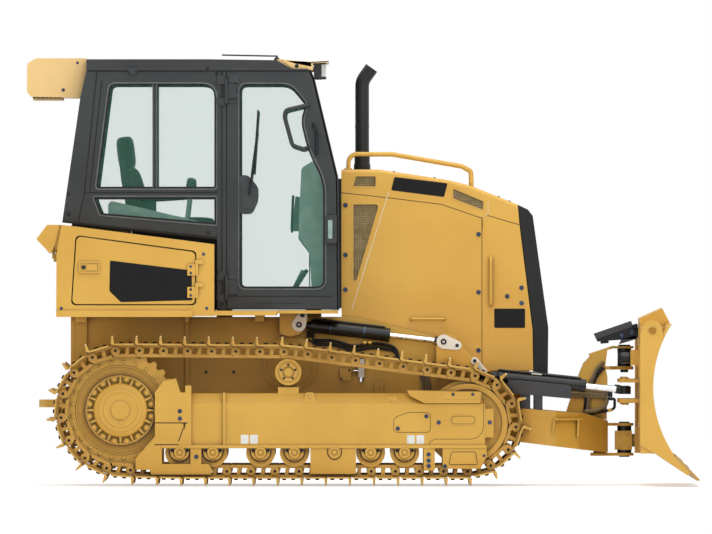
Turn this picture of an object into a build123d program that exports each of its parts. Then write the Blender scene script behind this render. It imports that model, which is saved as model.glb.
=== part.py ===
"""Compact crawler bulldozer with an enclosed cab and a six-way blade.

Lengths are millimetres. +X is forward, +Y is the operator's left, +Z is up.
The ground is Z = 0, and the origin is below the middle of the whole machine.
One STEP file is written to parts/ for each named piece.
"""
from build123d import *
import math
import os

# ------------------------------------------------------------ driving sizes
# Undercarriage
TRACK_GAUGE = 1550           # between the centre planes of the two tracks
SHOE_WIDTH = 460
LINK_COUNT = 43
PIN_TO_SHOE = 46             # pin axis to the shoe plate's outer face
SHOE_THICK = 10
GROUSER_HEIGHT = 49
PIN_TO_RAIL = 42             # pin axis to the rail that the rollers run on
STRAND_THICK = 30            # one side link
STRAND_GAP = 90              # clear width between the two side links
SPROCKET_X, SPROCKET_Z = -1569, 491
SPROCKET_PIN_RADIUS = 386.5
SPROCKET_TEETH = 31
SPROCKET_WIDTH = 44
CARRIER_X, CARRIER_Z, CARRIER_RADIUS = -483, 737, 85.5
IDLER_X, IDLER_PIN_RADIUS = 680, 311
ROLLER_XS = (-1185, -971, -662, -443, -184, 50, 270)
ROLLER_RADIUS = 80
FRAME_HALF = 110             # half the width of a track frame box
FRAME_WALL = 18

# Main frame, lift arms and cylinders
CHASSIS_HALF = 415
ARM_INNER, ARM_OUTER = 443, 533        # band beside the chassis for arms and cylinders
LIFT_PIVOT = (90, 450)                 # X, Z
LIFT_HEAD = (-415, 1043)               # X, Z of the lift cylinder's head pin
LIFT_EYE = (523, 933)                  # X, Z of its rod pin
ANGLE_HEAD = (790, 475, 712)           # X, Y, Z of the angle cylinder's ball end
ANGLE_EYE = (1700, 430, 618)           # X, Y, Z of its rod pin
NOSE_X = 1700                          # vertical axis on which the blade angles
TILT_AXIS_Z = 290                      # fore-and-aft axis on which the blade tilts
TILT_HEAD_Z = 828                      # height of the tilt cylinder
TILT_EYE_Y = -400                      # where the tilt cylinder's rod meets the blade
RUNNING_CLEARANCE = 0.05               # radial, at pins and rods
SEAT = 0.3                             # gap where pieces of two bodies meet

# Blade
BLADE_HALF = 1460
BLADE_BACK_X = 1786
MOLDBOARD_THICK = 20
EDGE_THICK = 20

# Hood
HOOD_HALF = 380
HOOD_SKIN = 20
HOOD_REAR_X = -140

# Cab
CAB_HALF = 740
CAB_WALL = 50
GLASS = 8
CONSOLE_GAP = 30                       # between a side console and the cab's wall
AIR_UNIT_HALF = 560
CAB_SILL_Z = 1140
CAB_FLOOR_Z = 1205
ROOF_Z = 2690
ROOF_RISE = 72                         # roof panel, from its seam to its top
DOOR_HINGE_X = -885
DOOR_GAP = 8

# Side boxes over the tracks
BOX_INNER, BOX_OUTER = 560, 960
BOX_WALL = 25
BOX_BOTTOM_Z = 1100
BOX_HINGE_X = -1075
FENDER_Z = 1104                        # underside of the plates over the tracks

TRACK_Y = TRACK_GAUGE / 2
ROOF_TOP_Z = ROOF_Z + ROOF_RISE
PIN_Z = PIN_TO_SHOE + GROUSER_HEIGHT               # pins of the run on the ground
ROLLER_Z = PIN_Z + PIN_TO_RAIL + ROLLER_RADIUS
IDLER_Z = PIN_Z + IDLER_PIN_RADIUS


# ------------------------------------------------------------------ helpers
def prism(corners, radii, along):
    """Solid swept from a flat outline; radii round its corners."""
    outline = FilletPolyline(corners, radius=radii, close=True) if any(radii) else Polyline(corners, close=True)
    return Solid.extrude(Face(Wire(outline.edges())), Vector(*along))


def corner_radii(points):
    return [point[2] if len(point) > 2 else 0 for point in points]


def side_slab(points, y_from, y_to):
    """Prism of a side view; a point is (x, z) or (x, z, corner radius)."""
    corners = [(point[0], y_from, point[1]) for point in points]
    return prism(corners, corner_radii(points), (0, y_to - y_from, 0))


def plan_slab(points, z_from, z_to):
    """Prism of a top view; a point is (x, y) or (x, y, corner radius)."""
    corners = [(point[0], point[1], z_from) for point in points]
    return prism(corners, corner_radii(points), (0, 0, z_to - z_from))


def front_slab(points, x_from, x_to):
    """Prism of a front view; a point is (y, z) or (y, z, corner radius)."""
    corners = [(x_from, point[0], point[1]) for point in points]
    return prism(corners, corner_radii(points), (x_to - x_from, 0, 0))


def block(x_from, x_to, y_from, y_to, z_from, z_to):
    return side_slab([(x_from, z_from), (x_to, z_from), (x_to, z_to), (x_from, z_to)], y_from, y_to)


def bar(start, end, radius):
    """Round bar between two points."""
    axis = Vector(*end) - Vector(*start)
    return Solid.make_cylinder(radius, axis.length, Plane(origin=start, z_dir=axis))


def cross_bar(x, z, radius, y_from, y_to):
    """Round bar across the machine."""
    return bar((x, y_from, z), (x, y_to, z), radius)


def arc_slab(edges, y_from, y_to):
    """Prism of a closed side view made of edges that lie at y_from."""
    return Solid.extrude(Face(Wire(edges)), Vector(0, y_to - y_from, 0))


def joined(shapes):
    """One welded piece from several solids."""
    whole = shapes[0].fuse(*shapes[1:])
    return whole.clean()


def left_and_right(shape):
    return [shape, mirror(shape, about=Plane.XZ)]


def along(start, end, distance):
    """Point at a distance from start towards end."""
    direction = (Vector(*end) - Vector(*start)).normalized()
    return tuple(Vector(*start) + direction * distance)


def save(name, shapes):
    solids = [solid for shape in shapes for solid in shape.solids()]
    export_step(Compound(solids) if len(solids) > 1 else solids[0], "parts/" + name + ".step")


def save_pair(name, shape):
    left, right = left_and_right(shape)
    save(name + "_left", [left])
    save(name + "_right", [right])


# ------------------------------------------------------------------- tracks
ARC_STEPS = 24
BELT_WHEELS = (                        # x, z, radius that the pins run on
    (SPROCKET_X, SPROCKET_Z, SPROCKET_PIN_RADIUS),
    (CARRIER_X, CARRIER_Z, CARRIER_RADIUS + PIN_TO_RAIL + 3.5),
    (IDLER_X, IDLER_Z, IDLER_PIN_RADIUS),
    (ROLLER_XS[0], ROLLER_Z, ROLLER_RADIUS + PIN_TO_RAIL),
)
FIRST_PIN = 0.52                       # of a pitch, from the belt's first point


def belt_normals():
    """Outward direction of the straight run from each belt wheel to the next."""
    normals = []
    for (x_a, z_a, r_a), (x_b, z_b, r_b) in zip(BELT_WHEELS, BELT_WHEELS[1:] + BELT_WHEELS[:1]):
        span = math.hypot(x_b - x_a, z_b - z_a)
        u_x, u_z = (x_b - x_a) / span, (z_b - z_a) / span
        near = (r_a - r_b) / span
        out = math.sqrt(1 - near * near)
        normals.append((near * u_x - out * u_z, near * u_z + out * u_x))
    return normals


def belt_points():
    """Points round the pins' path, clockwise seen from the machine's right."""
    normals = belt_normals()
    points = []
    for index, (x, z, radius) in enumerate(BELT_WHEELS):
        start = math.atan2(normals[index - 1][1], normals[index - 1][0])
        end = math.atan2(normals[index][1], normals[index][0])
        turn = (start - end) % (2 * math.pi)
        for step in range(ARC_STEPS + 1):
            angle = start - turn * step / ARC_STEPS
            points.append((x + radius * math.cos(angle), z + radius * math.sin(angle)))
    return points


def track_pins():
    """Pin centres, one pitch apart along the path."""
    points = belt_points()
    points.append(points[0])
    lengths = [math.dist(a, b) for a, b in zip(points, points[1:])]
    pitch = sum(lengths) / LINK_COUNT
    pins, reached, index = [], 0.0, 0
    for link in range(LINK_COUNT):
        wanted = (link + FIRST_PIN) * pitch
        while reached + lengths[index] < wanted:
            reached += lengths[index]
            index += 1
        share = (wanted - reached) / lengths[index]
        (x_a, z_a), (x_b, z_b) = points[index], points[index + 1]
        pins.append((x_a + share * (x_b - x_a), z_a + share * (z_b - z_a)))
    return pins


PINS = track_pins()


def link_loop(outline):
    """Closed loop of every link's own points, given as (from pin, from next pin, outward)."""
    loop = []
    for (x_a, z_a), (x_b, z_b) in zip(PINS, PINS[1:] + PINS[:1]):
        length = math.dist((x_a, z_a), (x_b, z_b))
        u_x, u_z = (x_b - x_a) / length, (z_b - z_a) / length
        for from_pin, from_next, outward in outline:
            s = from_pin if from_pin is not None else length + from_next
            loop.append((x_a + s * u_x - outward * u_z, z_a + s * u_z + outward * u_x))
    return loop


def ring_slab(outer, inner, y_from, y_to):
    def wire(points):
        return Wire(Polyline([(x, y_from, z) for x, z in points], close=True).edges())
    return Solid.extrude(Face(wire(outer), [wire(inner)]), Vector(0, y_to - y_from, 0))


# Points of one link: along the link from its pin, or from the next pin, and outward.
GROUSER_TIP = PIN_TO_SHOE + GROUSER_HEIGHT
SHOE_OUTER = ((-28, None, PIN_TO_SHOE), (-23, None, GROUSER_TIP), (-14, None, GROUSER_TIP),
              (-7, None, PIN_TO_SHOE), (None, -36, PIN_TO_SHOE))
SHOE_INNER = ((-12, None, PIN_TO_SHOE - SHOE_THICK), (None, -32, PIN_TO_SHOE - SHOE_THICK))
STRAND_OUTER = ((-10, None, PIN_TO_SHOE - SHOE_THICK / 2), (None, -33, PIN_TO_SHOE - SHOE_THICK / 2))
STRAND_INNER = ((15, None, -PIN_TO_RAIL), (None, -15, -PIN_TO_RAIL))


def track():
    """One closed track: shoes with their grousers on two strands of side links."""
    y_in, y_out = TRACK_Y - SHOE_WIDTH / 2, TRACK_Y + SHOE_WIDTH / 2
    shoes = ring_slab(link_loop(SHOE_OUTER), link_loop(SHOE_INNER), y_in, y_out)
    strands = []
    for side in (-1, 1):
        middle = TRACK_Y + side * (STRAND_GAP + STRAND_THICK) / 2
        strands.append(ring_slab(link_loop(STRAND_OUTER), link_loop(STRAND_INNER),
                                 middle - STRAND_THICK / 2, middle + STRAND_THICK / 2))
    return shoes.fuse(*strands)


# ------------------------------------------------- sprocket, idler, rollers
HUB_RADIUS = 200
HUB_COVER_RADIUS = 226
DOME_RADIUS = 138
HUB_RIB_COUNT = 16
TOOTH_TIP_RADIUS = SPROCKET_PIN_RADIUS - 5
TOOTH_ROOT_RADIUS = SPROCKET_PIN_RADIUS - 31


def sprocket():
    """Toothed rim; every second gap holds a track pin."""
    x_pin, z_pin = min(PINS)
    first_gap = math.atan2(z_pin - SPROCKET_Z, x_pin - SPROCKET_X)
    step = 2 * math.pi / SPROCKET_TEETH
    outline = []
    for tooth in range(SPROCKET_TEETH):
        centre = first_gap + (tooth + 0.5) * step
        for share, radius in ((-0.36, TOOTH_ROOT_RADIUS), (-0.16, TOOTH_TIP_RADIUS),
                              (0.16, TOOTH_TIP_RADIUS), (0.36, TOOTH_ROOT_RADIUS)):
            angle = centre + share * step
            outline.append((SPROCKET_X + radius * math.cos(angle), SPROCKET_Z + radius * math.sin(angle)))
    rim = side_slab(outline, TRACK_Y - SPROCKET_WIDTH / 2, TRACK_Y + SPROCKET_WIDTH / 2)
    groove = (cross_bar(SPROCKET_X, SPROCKET_Z, TOOTH_ROOT_RADIUS - 62, TRACK_Y + 10, TRACK_Y + SPROCKET_WIDTH)
              - cross_bar(SPROCKET_X, SPROCKET_Z, HUB_COVER_RADIUS + 12, TRACK_Y, TRACK_Y + SPROCKET_WIDTH))
    hole = cross_bar(SPROCKET_X, SPROCKET_Z, HUB_RADIUS, TRACK_Y - SPROCKET_WIDTH, TRACK_Y + SPROCKET_WIDTH)
    return rim - groove - hole


def final_drive():
    """Gear case from the chassis side out through the sprocket."""
    outer_face = TRACK_Y + SPROCKET_WIDTH / 2
    steps = (                          # radius, from y, to y
        (150, CHASSIS_HALF, 620),
        (215, 600, TRACK_Y - SPROCKET_WIDTH / 2),
        (HUB_RADIUS - RUNNING_CLEARANCE, TRACK_Y - SPROCKET_WIDTH, outer_face + 5),
        (HUB_COVER_RADIUS, outer_face, outer_face + 40),
        (DOME_RADIUS, outer_face + 35, outer_face + 92),
        (60, outer_face + 90, outer_face + 106),
    )
    case = [cross_bar(SPROCKET_X, SPROCKET_Z, radius, y_from, y_to) for radius, y_from, y_to in steps]
    rib = side_slab([(SPROCKET_X + DOME_RADIUS - 8, SPROCKET_Z - 11), (SPROCKET_X + HUB_COVER_RADIUS - 12, SPROCKET_Z - 4),
                     (SPROCKET_X + HUB_COVER_RADIUS - 12, SPROCKET_Z + 4), (SPROCKET_X + DOME_RADIUS - 8, SPROCKET_Z + 11)],
                    outer_face + 30, outer_face + 68)
    axis = Axis((SPROCKET_X, 0, SPROCKET_Z), (0, 1, 0))
    ribs = [rib.rotate(axis, 360 * index / HUB_RIB_COUNT) for index in range(HUB_RIB_COUNT)]
    return joined(case + ribs)


def idler():
    """Front wheel of the track, with a guide flange between the strands."""
    turn = math.pi / 13                # half the turn that one link makes on the idler
    tread = IDLER_PIN_RADIUS * math.cos(turn) - PIN_TO_RAIL - 4
    rim_half = STRAND_GAP / 2 + STRAND_THICK
    wheel = [cross_bar(IDLER_X, IDLER_Z, tread, TRACK_Y - rim_half, TRACK_Y + rim_half),
             cross_bar(IDLER_X, IDLER_Z, tread + 24, TRACK_Y - STRAND_GAP / 2 + 7, TRACK_Y + STRAND_GAP / 2 - 7),
             cross_bar(IDLER_X, IDLER_Z, 70, TRACK_Y - FRAME_HALF + FRAME_WALL + 2 + SEAT,
                       TRACK_Y + FRAME_HALF - FRAME_WALL - 2 - SEAT)]
    dishes = []
    for side in (-1, 1):
        outer = cross_bar(IDLER_X, IDLER_Z, tread - 34, TRACK_Y + side * (rim_half - 28), TRACK_Y + side * 100)
        dishes.append(outer - cross_bar(IDLER_X, IDLER_Z, 92, TRACK_Y + side * 30, TRACK_Y + side * 101))
    wheel = joined(wheel)
    for dish in dishes:
        wheel = wheel - dish
    return wheel


def track_roller(x):
    tread_half = STRAND_GAP / 2 + STRAND_THICK
    shaft_half = FRAME_HALF - FRAME_WALL - SEAT
    return joined([cross_bar(x, ROLLER_Z, ROLLER_RADIUS - 0.5, TRACK_Y - tread_half, TRACK_Y + tread_half),
                   cross_bar(x, ROLLER_Z, ROLLER_RADIUS - 16, TRACK_Y - shaft_half, TRACK_Y + shaft_half),
                   cross_bar(x, ROLLER_Z, ROLLER_RADIUS + 14, TRACK_Y + tread_half + 3, TRACK_Y + tread_half + 12),
                   cross_bar(x, ROLLER_Z, ROLLER_RADIUS + 14, TRACK_Y - tread_half - 12, TRACK_Y - tread_half - 3)])


def carrier_roller():
    return joined([cross_bar(CARRIER_X, CARRIER_Z, CARRIER_RADIUS, TRACK_Y - 80, TRACK_Y + 88),
                   cross_bar(CARRIER_X, CARRIER_Z, 62, TRACK_Y + 88, TRACK_Y + 98),
                   cross_bar(CARRIER_X, CARRIER_Z, 32, TRACK_Y - 100, TRACK_Y - 80)])


# -------------------------------------------------------------- track frame
FRAME_FRONT_X = 790
FRAME_BOTTOM_Z, FRAME_FLANGE_Z = 245, 265
FRAME_SHOULDER_Z, FRAME_TOP_Z = 530, 600
COLLAR_OUT = FRAME_HALF + 8


def track_frame():
    """Box that carries the rollers and idler, with its guards and roller collars."""
    y_0 = TRACK_Y

    def section(half, top_half, z_from):
        return [(y_0 - half, z_from), (y_0 + half, z_from), (y_0 + half, FRAME_SHOULDER_Z),
                (y_0 + top_half, FRAME_TOP_Z), (y_0 - top_half, FRAME_TOP_Z), (y_0 - half, FRAME_SHOULDER_Z)]

    inside = FRAME_HALF - FRAME_WALL
    shell = [front_slab(section(FRAME_HALF, 62, FRAME_FLANGE_Z), -890, FRAME_FRONT_X),
             front_slab(section(FRAME_HALF - 12, 50, FRAME_FLANGE_Z), -1115, -885),
             block(-1300, 800, y_0 - COLLAR_OUT - 6, y_0 + COLLAR_OUT + 6, FRAME_BOTTOM_Z, FRAME_FLANGE_Z),
             block(-905, -890, y_0 - COLLAR_OUT, y_0 + COLLAR_OUT, FRAME_FLANGE_Z, FRAME_TOP_Z + 5),
             side_slab([(-1200, FRAME_FLANGE_Z), (-1110, FRAME_FLANGE_Z), (-1110, 650), (-1150, 650), (-1150, 360)],
                       y_0 - COLLAR_OUT, y_0 + COLLAR_OUT)]
    frame = joined(shell)
    frame = frame - block(-1320, 820, y_0 - inside, y_0 + inside, FRAME_BOTTOM_Z - 5, ROLLER_Z + 120)
    frame = frame - block(375, FRAME_FRONT_X + 20, y_0 - inside, y_0 + inside, FRAME_BOTTOM_Z - 5, FRAME_TOP_Z + 5)
    frame = frame - cross_bar(IDLER_X, IDLER_Z, 296, y_0 - inside, y_0 + inside)
    pieces = [frame]
    guard_in, guard_out = y_0 + inside, y_0 + COLLAR_OUT
    # Side-view outlines of the plates welded or bolted on both sides of the frame.
    guards = (
        [(-1345, 410), (-1140, 410), (-1140, 606), (-1180, 606), (-1210, 697), (-1290, 680), (-1345, 606)],
        [(-1345, 270), (-1195, 270), (-1150, 360), (-1165, 411), (-1345, 411)],
        [(-1470, 105), (-1300, 105), (-1300, 271), (-1345, 320), (-1470, 180, 30)],
        [(-1380, 115), (-1370, 75), (-985, 75), (-970, 100), (-1000, 143), (-1320, 143)],
        [(-1115, 140), (-1045, 140), (-1045, 250), (-1115, 250)],
        [(-340, 78), (-45, 78), (-45, 247), (-340, 247)],
        [(392, 100), (465, 100), (465, 247), (392, 247)],
        [(515, 112), (760, 112, 30), (800, 190), (800, 250), (515, 250)],
    )
    for outline in guards:
        plate = side_slab(outline, guard_in, guard_out)
        pieces += [plate, mirror(plate, about=Plane(origin=(0, y_0, 0), z_dir=(0, 1, 0)))]
    # Idler bearing plates in front and the guard over the idler, outer and inner side.
    for side in (-1, 1):
        y_in, y_far = y_0 + side * (inside - 2), y_0 + side * COLLAR_OUT
        pieces.append(side_slab([(FRAME_FRONT_X - 60, 315), (845, 315), (845, 500), (FRAME_FRONT_X - 60, 500)],
                                y_in, y_0 + side * (FRAME_HALF - 3)))
        pieces.append(side_slab([(400, 536, 8), (760, 536, 15), (768, 610, 10), (285, 620), (300, 585, 60)],
                                y_in, y_far + side * 6))
        for x in ROLLER_XS:
            collar = side_slab([(x - 62, FRAME_BOTTOM_Z), (x - 56, ROLLER_Z - 45, 40), (x + 56, ROLLER_Z - 45, 40),
                                (x + 62, FRAME_BOTTOM_Z)], y_0 + side * inside, y_0 + side * (inside + 16))
            cap = cross_bar(x, ROLLER_Z, 36, y_0 + side * inside, y_0 + side * (COLLAR_OUT + 6))
            pieces += [collar, cap]
    # Carrier roller bracket.
    pieces.append(block(-550, -415, y_0 - 62, y_0 + 62, FRAME_TOP_Z - 2, 640))
    pieces.append(side_slab([(-545, 639), (-420, 639), (-440, CARRIER_Z + 30, 20), (-525, CARRIER_Z + 30, 20)],
                            y_0 - 130, y_0 - 100))
    pieces.append(block(-545, -420, y_0 - 130, y_0 - 50, 620, 641))
    return joined(pieces)


# --------------------------------------------------------------- main frame
CHASSIS_TOP_Z = 1092
OUTRIGGERS = (                         # x from, to, reach, top z: beams that carry the boxes and fenders
    (-1862, -1790, BOX_INNER + 100, BOX_BOTTOM_Z),
    (-1152, -1128, BOX_INNER + 100, BOX_BOTTOM_Z),
    (-700, -640, BOX_INNER + 80, FENDER_Z),
)
CAB_FEET = (-900, -320)                # x of the cab's rubber mounts
CHASSIS_OUTLINE = ((-1895, 560), (-1790, 345), (560, 335), (960, 420), (1030, 560), (1030, 612),
                   (780, 612), (730, 730), (500, 960), (-60, CHASSIS_TOP_Z), (-1895, CHASSIS_TOP_Z))
CROSS_TUBES = ((-700, 440, 62), (-250, 430, 62))          # x, z, radius
ARM_PIN_RADIUS = 50
CLEVIS_OUTLINE = ((-540, 985), (-470, 965), (-400, 985, 40), (-355, 1075, 30), (-370, 1125, 20), (-540, 1125))
EYE_HALF = 25                          # half the width of a cylinder's eye across its pin
LIFT_Y = (ARM_INNER + ARM_OUTER) / 2


def main_frame():
    """Welded chassis with the tubes, pivots and lugs that carry everything else."""
    pieces = [side_slab(CHASSIS_OUTLINE, -CHASSIS_HALF, CHASSIS_HALF),
              block(-1960, -1890, -260, 260, 430, 640),                     # drawbar block
              block(620, 1080, -CHASSIS_HALF + 40, CHASSIS_HALF - 40, 600, 745)]
    tongue = plan_slab([(-1955, -110), (-2070, -75, 40), (-2110, 0, 30), (-2070, 75, 40), (-1955, 110)], 505, 555)
    tongue = tongue - bar((DRAWBAR_PIN_X, 0, 490), (DRAWBAR_PIN_X, 0, 570), DRAWBAR_BORE)
    pieces.append(tongue)
    for side in (-1, 1):
        for x, z, radius in CROSS_TUBES:
            pieces.append(cross_bar(x, z, radius, side * (CHASSIS_HALF - 10), side * (TRACK_Y - FRAME_HALF)))
        x, z = LIFT_PIVOT
        pieces.append(cross_bar(x, z, ARM_PIN_RADIUS, side * (CHASSIS_HALF - 10), side * ARM_OUTER))
        pieces.append(cross_bar(x, z, ARM_PIN_RADIUS + 24, side * (CHASSIS_HALF - 10), side * (ARM_INNER - 6)))
        pieces.append(block(-1862, -1790, side * (CHASSIS_HALF - 5), side * (CHASSIS_HALF + 16), 700, 1092))
        pieces.append(block(-1152, -1128, side * (CHASSIS_HALF - 5), side * (CHASSIS_HALF + 16), 560, 1092))
        pieces.append(cross_bar(-475, 790, 185, side * (CHASSIS_HALF - 5), side * (CHASSIS_HALF + 8)))
        for x_from, x_to, reach, z_to in OUTRIGGERS:
            pieces.append(block(x_from, x_to, side * (CHASSIS_HALF - 5), side * reach, z_to - 40, z_to - SEAT))
        for x in CAB_FEET:
            pieces.append(block(x - 50, x + 50, side * 180, side * 300, CHASSIS_TOP_Z - 2, CAB_SILL_Z + 1 - SEAT))
        for y_from, y_to in ((CHASSIS_HALF - 5, LIFT_Y - EYE_HALF - 5), (LIFT_Y + EYE_HALF + 5, ARM_OUTER)):
            pieces.append(side_slab(CLEVIS_OUTLINE, side * y_from, side * y_to))
        pieces.append(block(-540, -474, side * (CHASSIS_HALF - 5), side * ARM_OUTER, 985, 1125))
        pieces.append(cross_bar(LIFT_HEAD[0], LIFT_HEAD[1], PIN_RADIUS, side * (CHASSIS_HALF - 5), side * (ARM_OUTER + 6)))
    frame = joined(pieces)
    for y in (-PAD_HOLE_Y, PAD_HOLE_Y):
        for z in (PAD_Z - PAD_HOLE_Z, PAD_Z + PAD_HOLE_Z):
            frame = frame - bar((-1970, y, z), (-1900, y, z), PAD_HOLE_RADIUS)
    return frame


DRAWBAR_PIN_X, DRAWBAR_BORE = -2040, 24
PAD_Z, PAD_HOLE_Y, PAD_HOLE_Z, PAD_HOLE_RADIUS = 535, 200, 75, 11      # rear pad for a winch or ripper


# --------------------------------------------------------- engine and hood
HOOD_TOP = ((HOOD_REAR_X, 2050), (100, 2050, 300), (500, 1990), (580, 1975, 200), (700, 1945, 300), (1004, 1822))
HOOD_SEAM = ((1016, 1690), (805, 1752), (770, 1734), (512, 1823), (183, 1864), (HOOD_REAR_X, 1899))
HOOD_FRONT = ((1004, 1822), (1016, 1690), (1100, 1010), (1104, 745))
# Openings for the perforated screens, side view.
HOOD_TOP_WINDOWS = (((-62, 1942, 8), (82, 1938, 14), (82, 2004, 8), (-45, 2004, 8)),
                    ((586, 1862, 6), (779, 1788, 6), (781, 1842, 6), (586, 1924, 6)))
HOOD_SIDE_WINDOW = ((-62, 1822, 8), (-62, 1325, 10), (-42, 1325, 6), (100, 1806, 10), (90, 1824, 8))
SCREEN_DEPTH = 6


def hood_top():
    """Upper cover over the engine, down to its seam, with screened windows."""
    outline = list(HOOD_TOP) + list(HOOD_SEAM)
    cover = side_slab(outline, -HOOD_HALF, HOOD_HALF)
    cover = cover.fillet(22, [edge for edge in cover.edges()
                              if abs(abs(edge.center().Y) - HOOD_HALF) < 1 and edge.center().Z > 1830
                              and (edge @ 0).X != (edge @ 1).X and edge.center().Z > seam_height(edge.center().X) + 40])
    hollow = side_slab([(HOOD_REAR_X + HOOD_SKIN, 1600), (1100, 1600), (1004 - HOOD_SKIN, 1822 - HOOD_SKIN),
                        (700, 1945 - HOOD_SKIN), (500, 1990 - HOOD_SKIN), (100, 2050 - HOOD_SKIN),
                        (HOOD_REAR_X + HOOD_SKIN, 2050 - HOOD_SKIN)], -HOOD_HALF + HOOD_SKIN, HOOD_HALF - HOOD_SKIN)
    cover = cover - hollow
    for window in HOOD_TOP_WINDOWS:
        cover = cover - side_slab(window, -HOOD_HALF - 5, HOOD_HALF + 5)
    return cover - bar((EXHAUST_X, EXHAUST_Y, 1900), (EXHAUST_X, EXHAUST_Y, 2100), EXHAUST_RADIUS + 4)


def seam_height(x):
    """Height of the hood's seam at x."""
    points = sorted(HOOD_SEAM)
    for (x_a, z_a), (x_b, z_b) in zip(points, points[1:]):
        if x_a <= x <= x_b:
            return z_a + (z_b - z_a) * (x - x_a) / (x_b - x_a)
    return points[0][1]


def hood_side():
    """Side panel of the engine bay, left."""
    outline = [(x, z - 1) for x, z in reversed(HOOD_SEAM)] + [(x, z) for x, z in HOOD_FRONT[2:]]
    outline += [(770, 745), (560, 965), (60, 1094), (HOOD_REAR_X, 1132)]
    panel = side_slab(outline, HOOD_HALF - HOOD_SKIN, HOOD_HALF)
    panel = panel - side_slab(HOOD_SIDE_WINDOW, HOOD_HALF - 2 * HOOD_SKIN, HOOD_HALF + 5)
    handle = block(822, 838, HOOD_HALF - 1, HOOD_HALF + 13, 1165, 1480)
    return joined([panel, handle])


def hood_screens():
    """Perforated screens set behind the hood's windows."""
    screens = []
    depth = HOOD_HALF - HOOD_SKIN + 4
    for window in HOOD_TOP_WINDOWS + (HOOD_SIDE_WINDOW,):
        screens += left_and_right(side_slab(window, depth, depth + SCREEN_DEPTH))
    return screens


def engine():
    return block(-60, 760, -290, 290, CHASSIS_TOP_Z + SEAT, 1700)


# Radiator guard: the charcoal frame at the front, side view.
GUARD_WALL = 60
GUARD_INSET = 8                        # leaves room for the angle cylinders at full lift
GRILLE_BAR_COUNT = 17


def radiator_guard():
    """Frame round the grille, with the grille's upright bars."""
    outline = [(1005, 1821), (1070, 1790, 20), (1102, 1750, 20), (1203, 1022), (1200, 725), (1106, 738), (1105, 1010)]
    half = HOOD_HALF - GUARD_INSET
    frame = side_slab(outline, -half, half)
    opening = side_slab([(1040, 1690), (1300, 1690), (1300, 800), (1130, 800)],
                        -HOOD_HALF + GUARD_WALL, HOOD_HALF - GUARD_WALL)
    back = side_slab([(1040, 1690), (1054, 1690), (1144, 1010), (1144, 800), (1130, 800), (1130, 1010)],
                     -HOOD_HALF + GUARD_WALL - 5, HOOD_HALF - GUARD_WALL + 5)
    pieces = [frame - opening, back]
    span = 2 * (HOOD_HALF - GUARD_WALL)
    for index in range(GRILLE_BAR_COUNT):
        y = -span / 2 + span * (index + 1) / (GRILLE_BAR_COUNT + 1)
        pieces.append(side_slab([(1052, 1695), (1072, 1695), (1165, 1015), (1165, 795), (1142, 795), (1142, 1010)],
                                y - 5, y + 5))
    for z in (1010, 1240, 1470):
        x = 1142 - (z - 1010) * 0.13
        pieces.append(block(x, x + 26, -span / 2 - 5, span / 2 + 5, z, z + 22))
    return joined(pieces)


EXHAUST_X, EXHAUST_Y, EXHAUST_RADIUS = -5, 0, 45


def exhaust_stack():
    """Upright pipe with its mouth turned forward, and the collar that it stands in."""
    path = FilletPolyline([(EXHAUST_X, EXHAUST_Y, 1990), (EXHAUST_X, EXHAUST_Y, 2625), (EXHAUST_X + 62, EXHAUST_Y, 2712)],
                          radius=100)
    wire = Wire(path.edges())
    start = Plane(origin=(EXHAUST_X, EXHAUST_Y, 1990), z_dir=(0, 0, 1))
    solid_pipe = sweep(start * Circle(EXHAUST_RADIUS), path=wire)
    bore = sweep(start * Circle(EXHAUST_RADIUS - 4), path=wire)
    collar = bar((EXHAUST_X, EXHAUST_Y, 2050 + SEAT), (EXHAUST_X, EXHAUST_Y, 2085), 54)
    neck = bar((EXHAUST_X, EXHAUST_Y, 2084), (EXHAUST_X, EXHAUST_Y, 2150), 50)
    return joined([solid_pipe.solids()[0], collar, neck]) - bore.solids()[0]


RAIL_RADIUS = 14
RAIL_Y = 335


def hood_rail():
    """Hand rail along the top of the hood, left."""
    points = [(-95, 2048), (-92, 2150), (190, 2150), (642, 2072), (702, 2040), (706, 1938)]
    radii = [55, 120, 40, 28]
    path = Wire(FilletPolyline([(x, RAIL_Y, z) for x, z in points], radius=radii).edges())
    tube = sweep(Plane(origin=(points[0][0], RAIL_Y, points[0][1]), z_dir=(0, 0, 1)) * Circle(RAIL_RADIUS), path=path)
    foot = bar((points[0][0], RAIL_Y, 2048), (points[0][0], RAIL_Y, 2058), 26)
    return joined([tube.solids()[0], foot]) - hood_top()


# ---------------------------------------------------------------------- cab
# Side view of the cab's outside, from the rear sill round over the roof line.
CAB_OUTLINE = ((-1947, 1705), (-1830, ROOF_Z - 180), (-1790, ROOF_Z), (-335, ROOF_Z), (-311, ROOF_Z - 58),
               (-160, ROOF_Z - 690), (-152, CAB_SILL_Z), (-935, CAB_SILL_Z), (-935, 1600))
CAB_INSIDE = ((-1893, 1655), (-1780, ROOF_Z - 180), (-1742, ROOF_Z + 5), (-392, ROOF_Z + 5),
              (-366, ROOF_Z - 70), (-212, ROOF_Z - 700), (-206, CAB_SILL_Z - 5), (-880, CAB_SILL_Z - 5),
              (-880, 1560))
DOOR_OUTLINE = ((-880, CAB_SILL_Z + 6), (-168, CAB_SILL_Z + 6), (-176, ROOF_Z - 695), (-327, ROOF_Z - 62),
                (-349, ROOF_Z - 8), (-880, ROOF_Z - 8))
DOOR_GLASS = ((-800, CAB_SILL_Z + 138, 40), (-245, CAB_SILL_Z + 138, 60), (-245, ROOF_Z - 715, 90),
              (-345, ROOF_Z - 522, 90), (-392, ROOF_Z - 325, 60), (-357, ROOF_Z - 220, 40),
              (-467, ROOF_Z - 87, 70), (-800, ROOF_Z - 87, 50))
SIDE_GLASS = ((-1728, 1925, 20), (-950, 1925, 20), (-950, ROOF_Z - 86, 100), (-1641, ROOF_Z - 86, 40))
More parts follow.
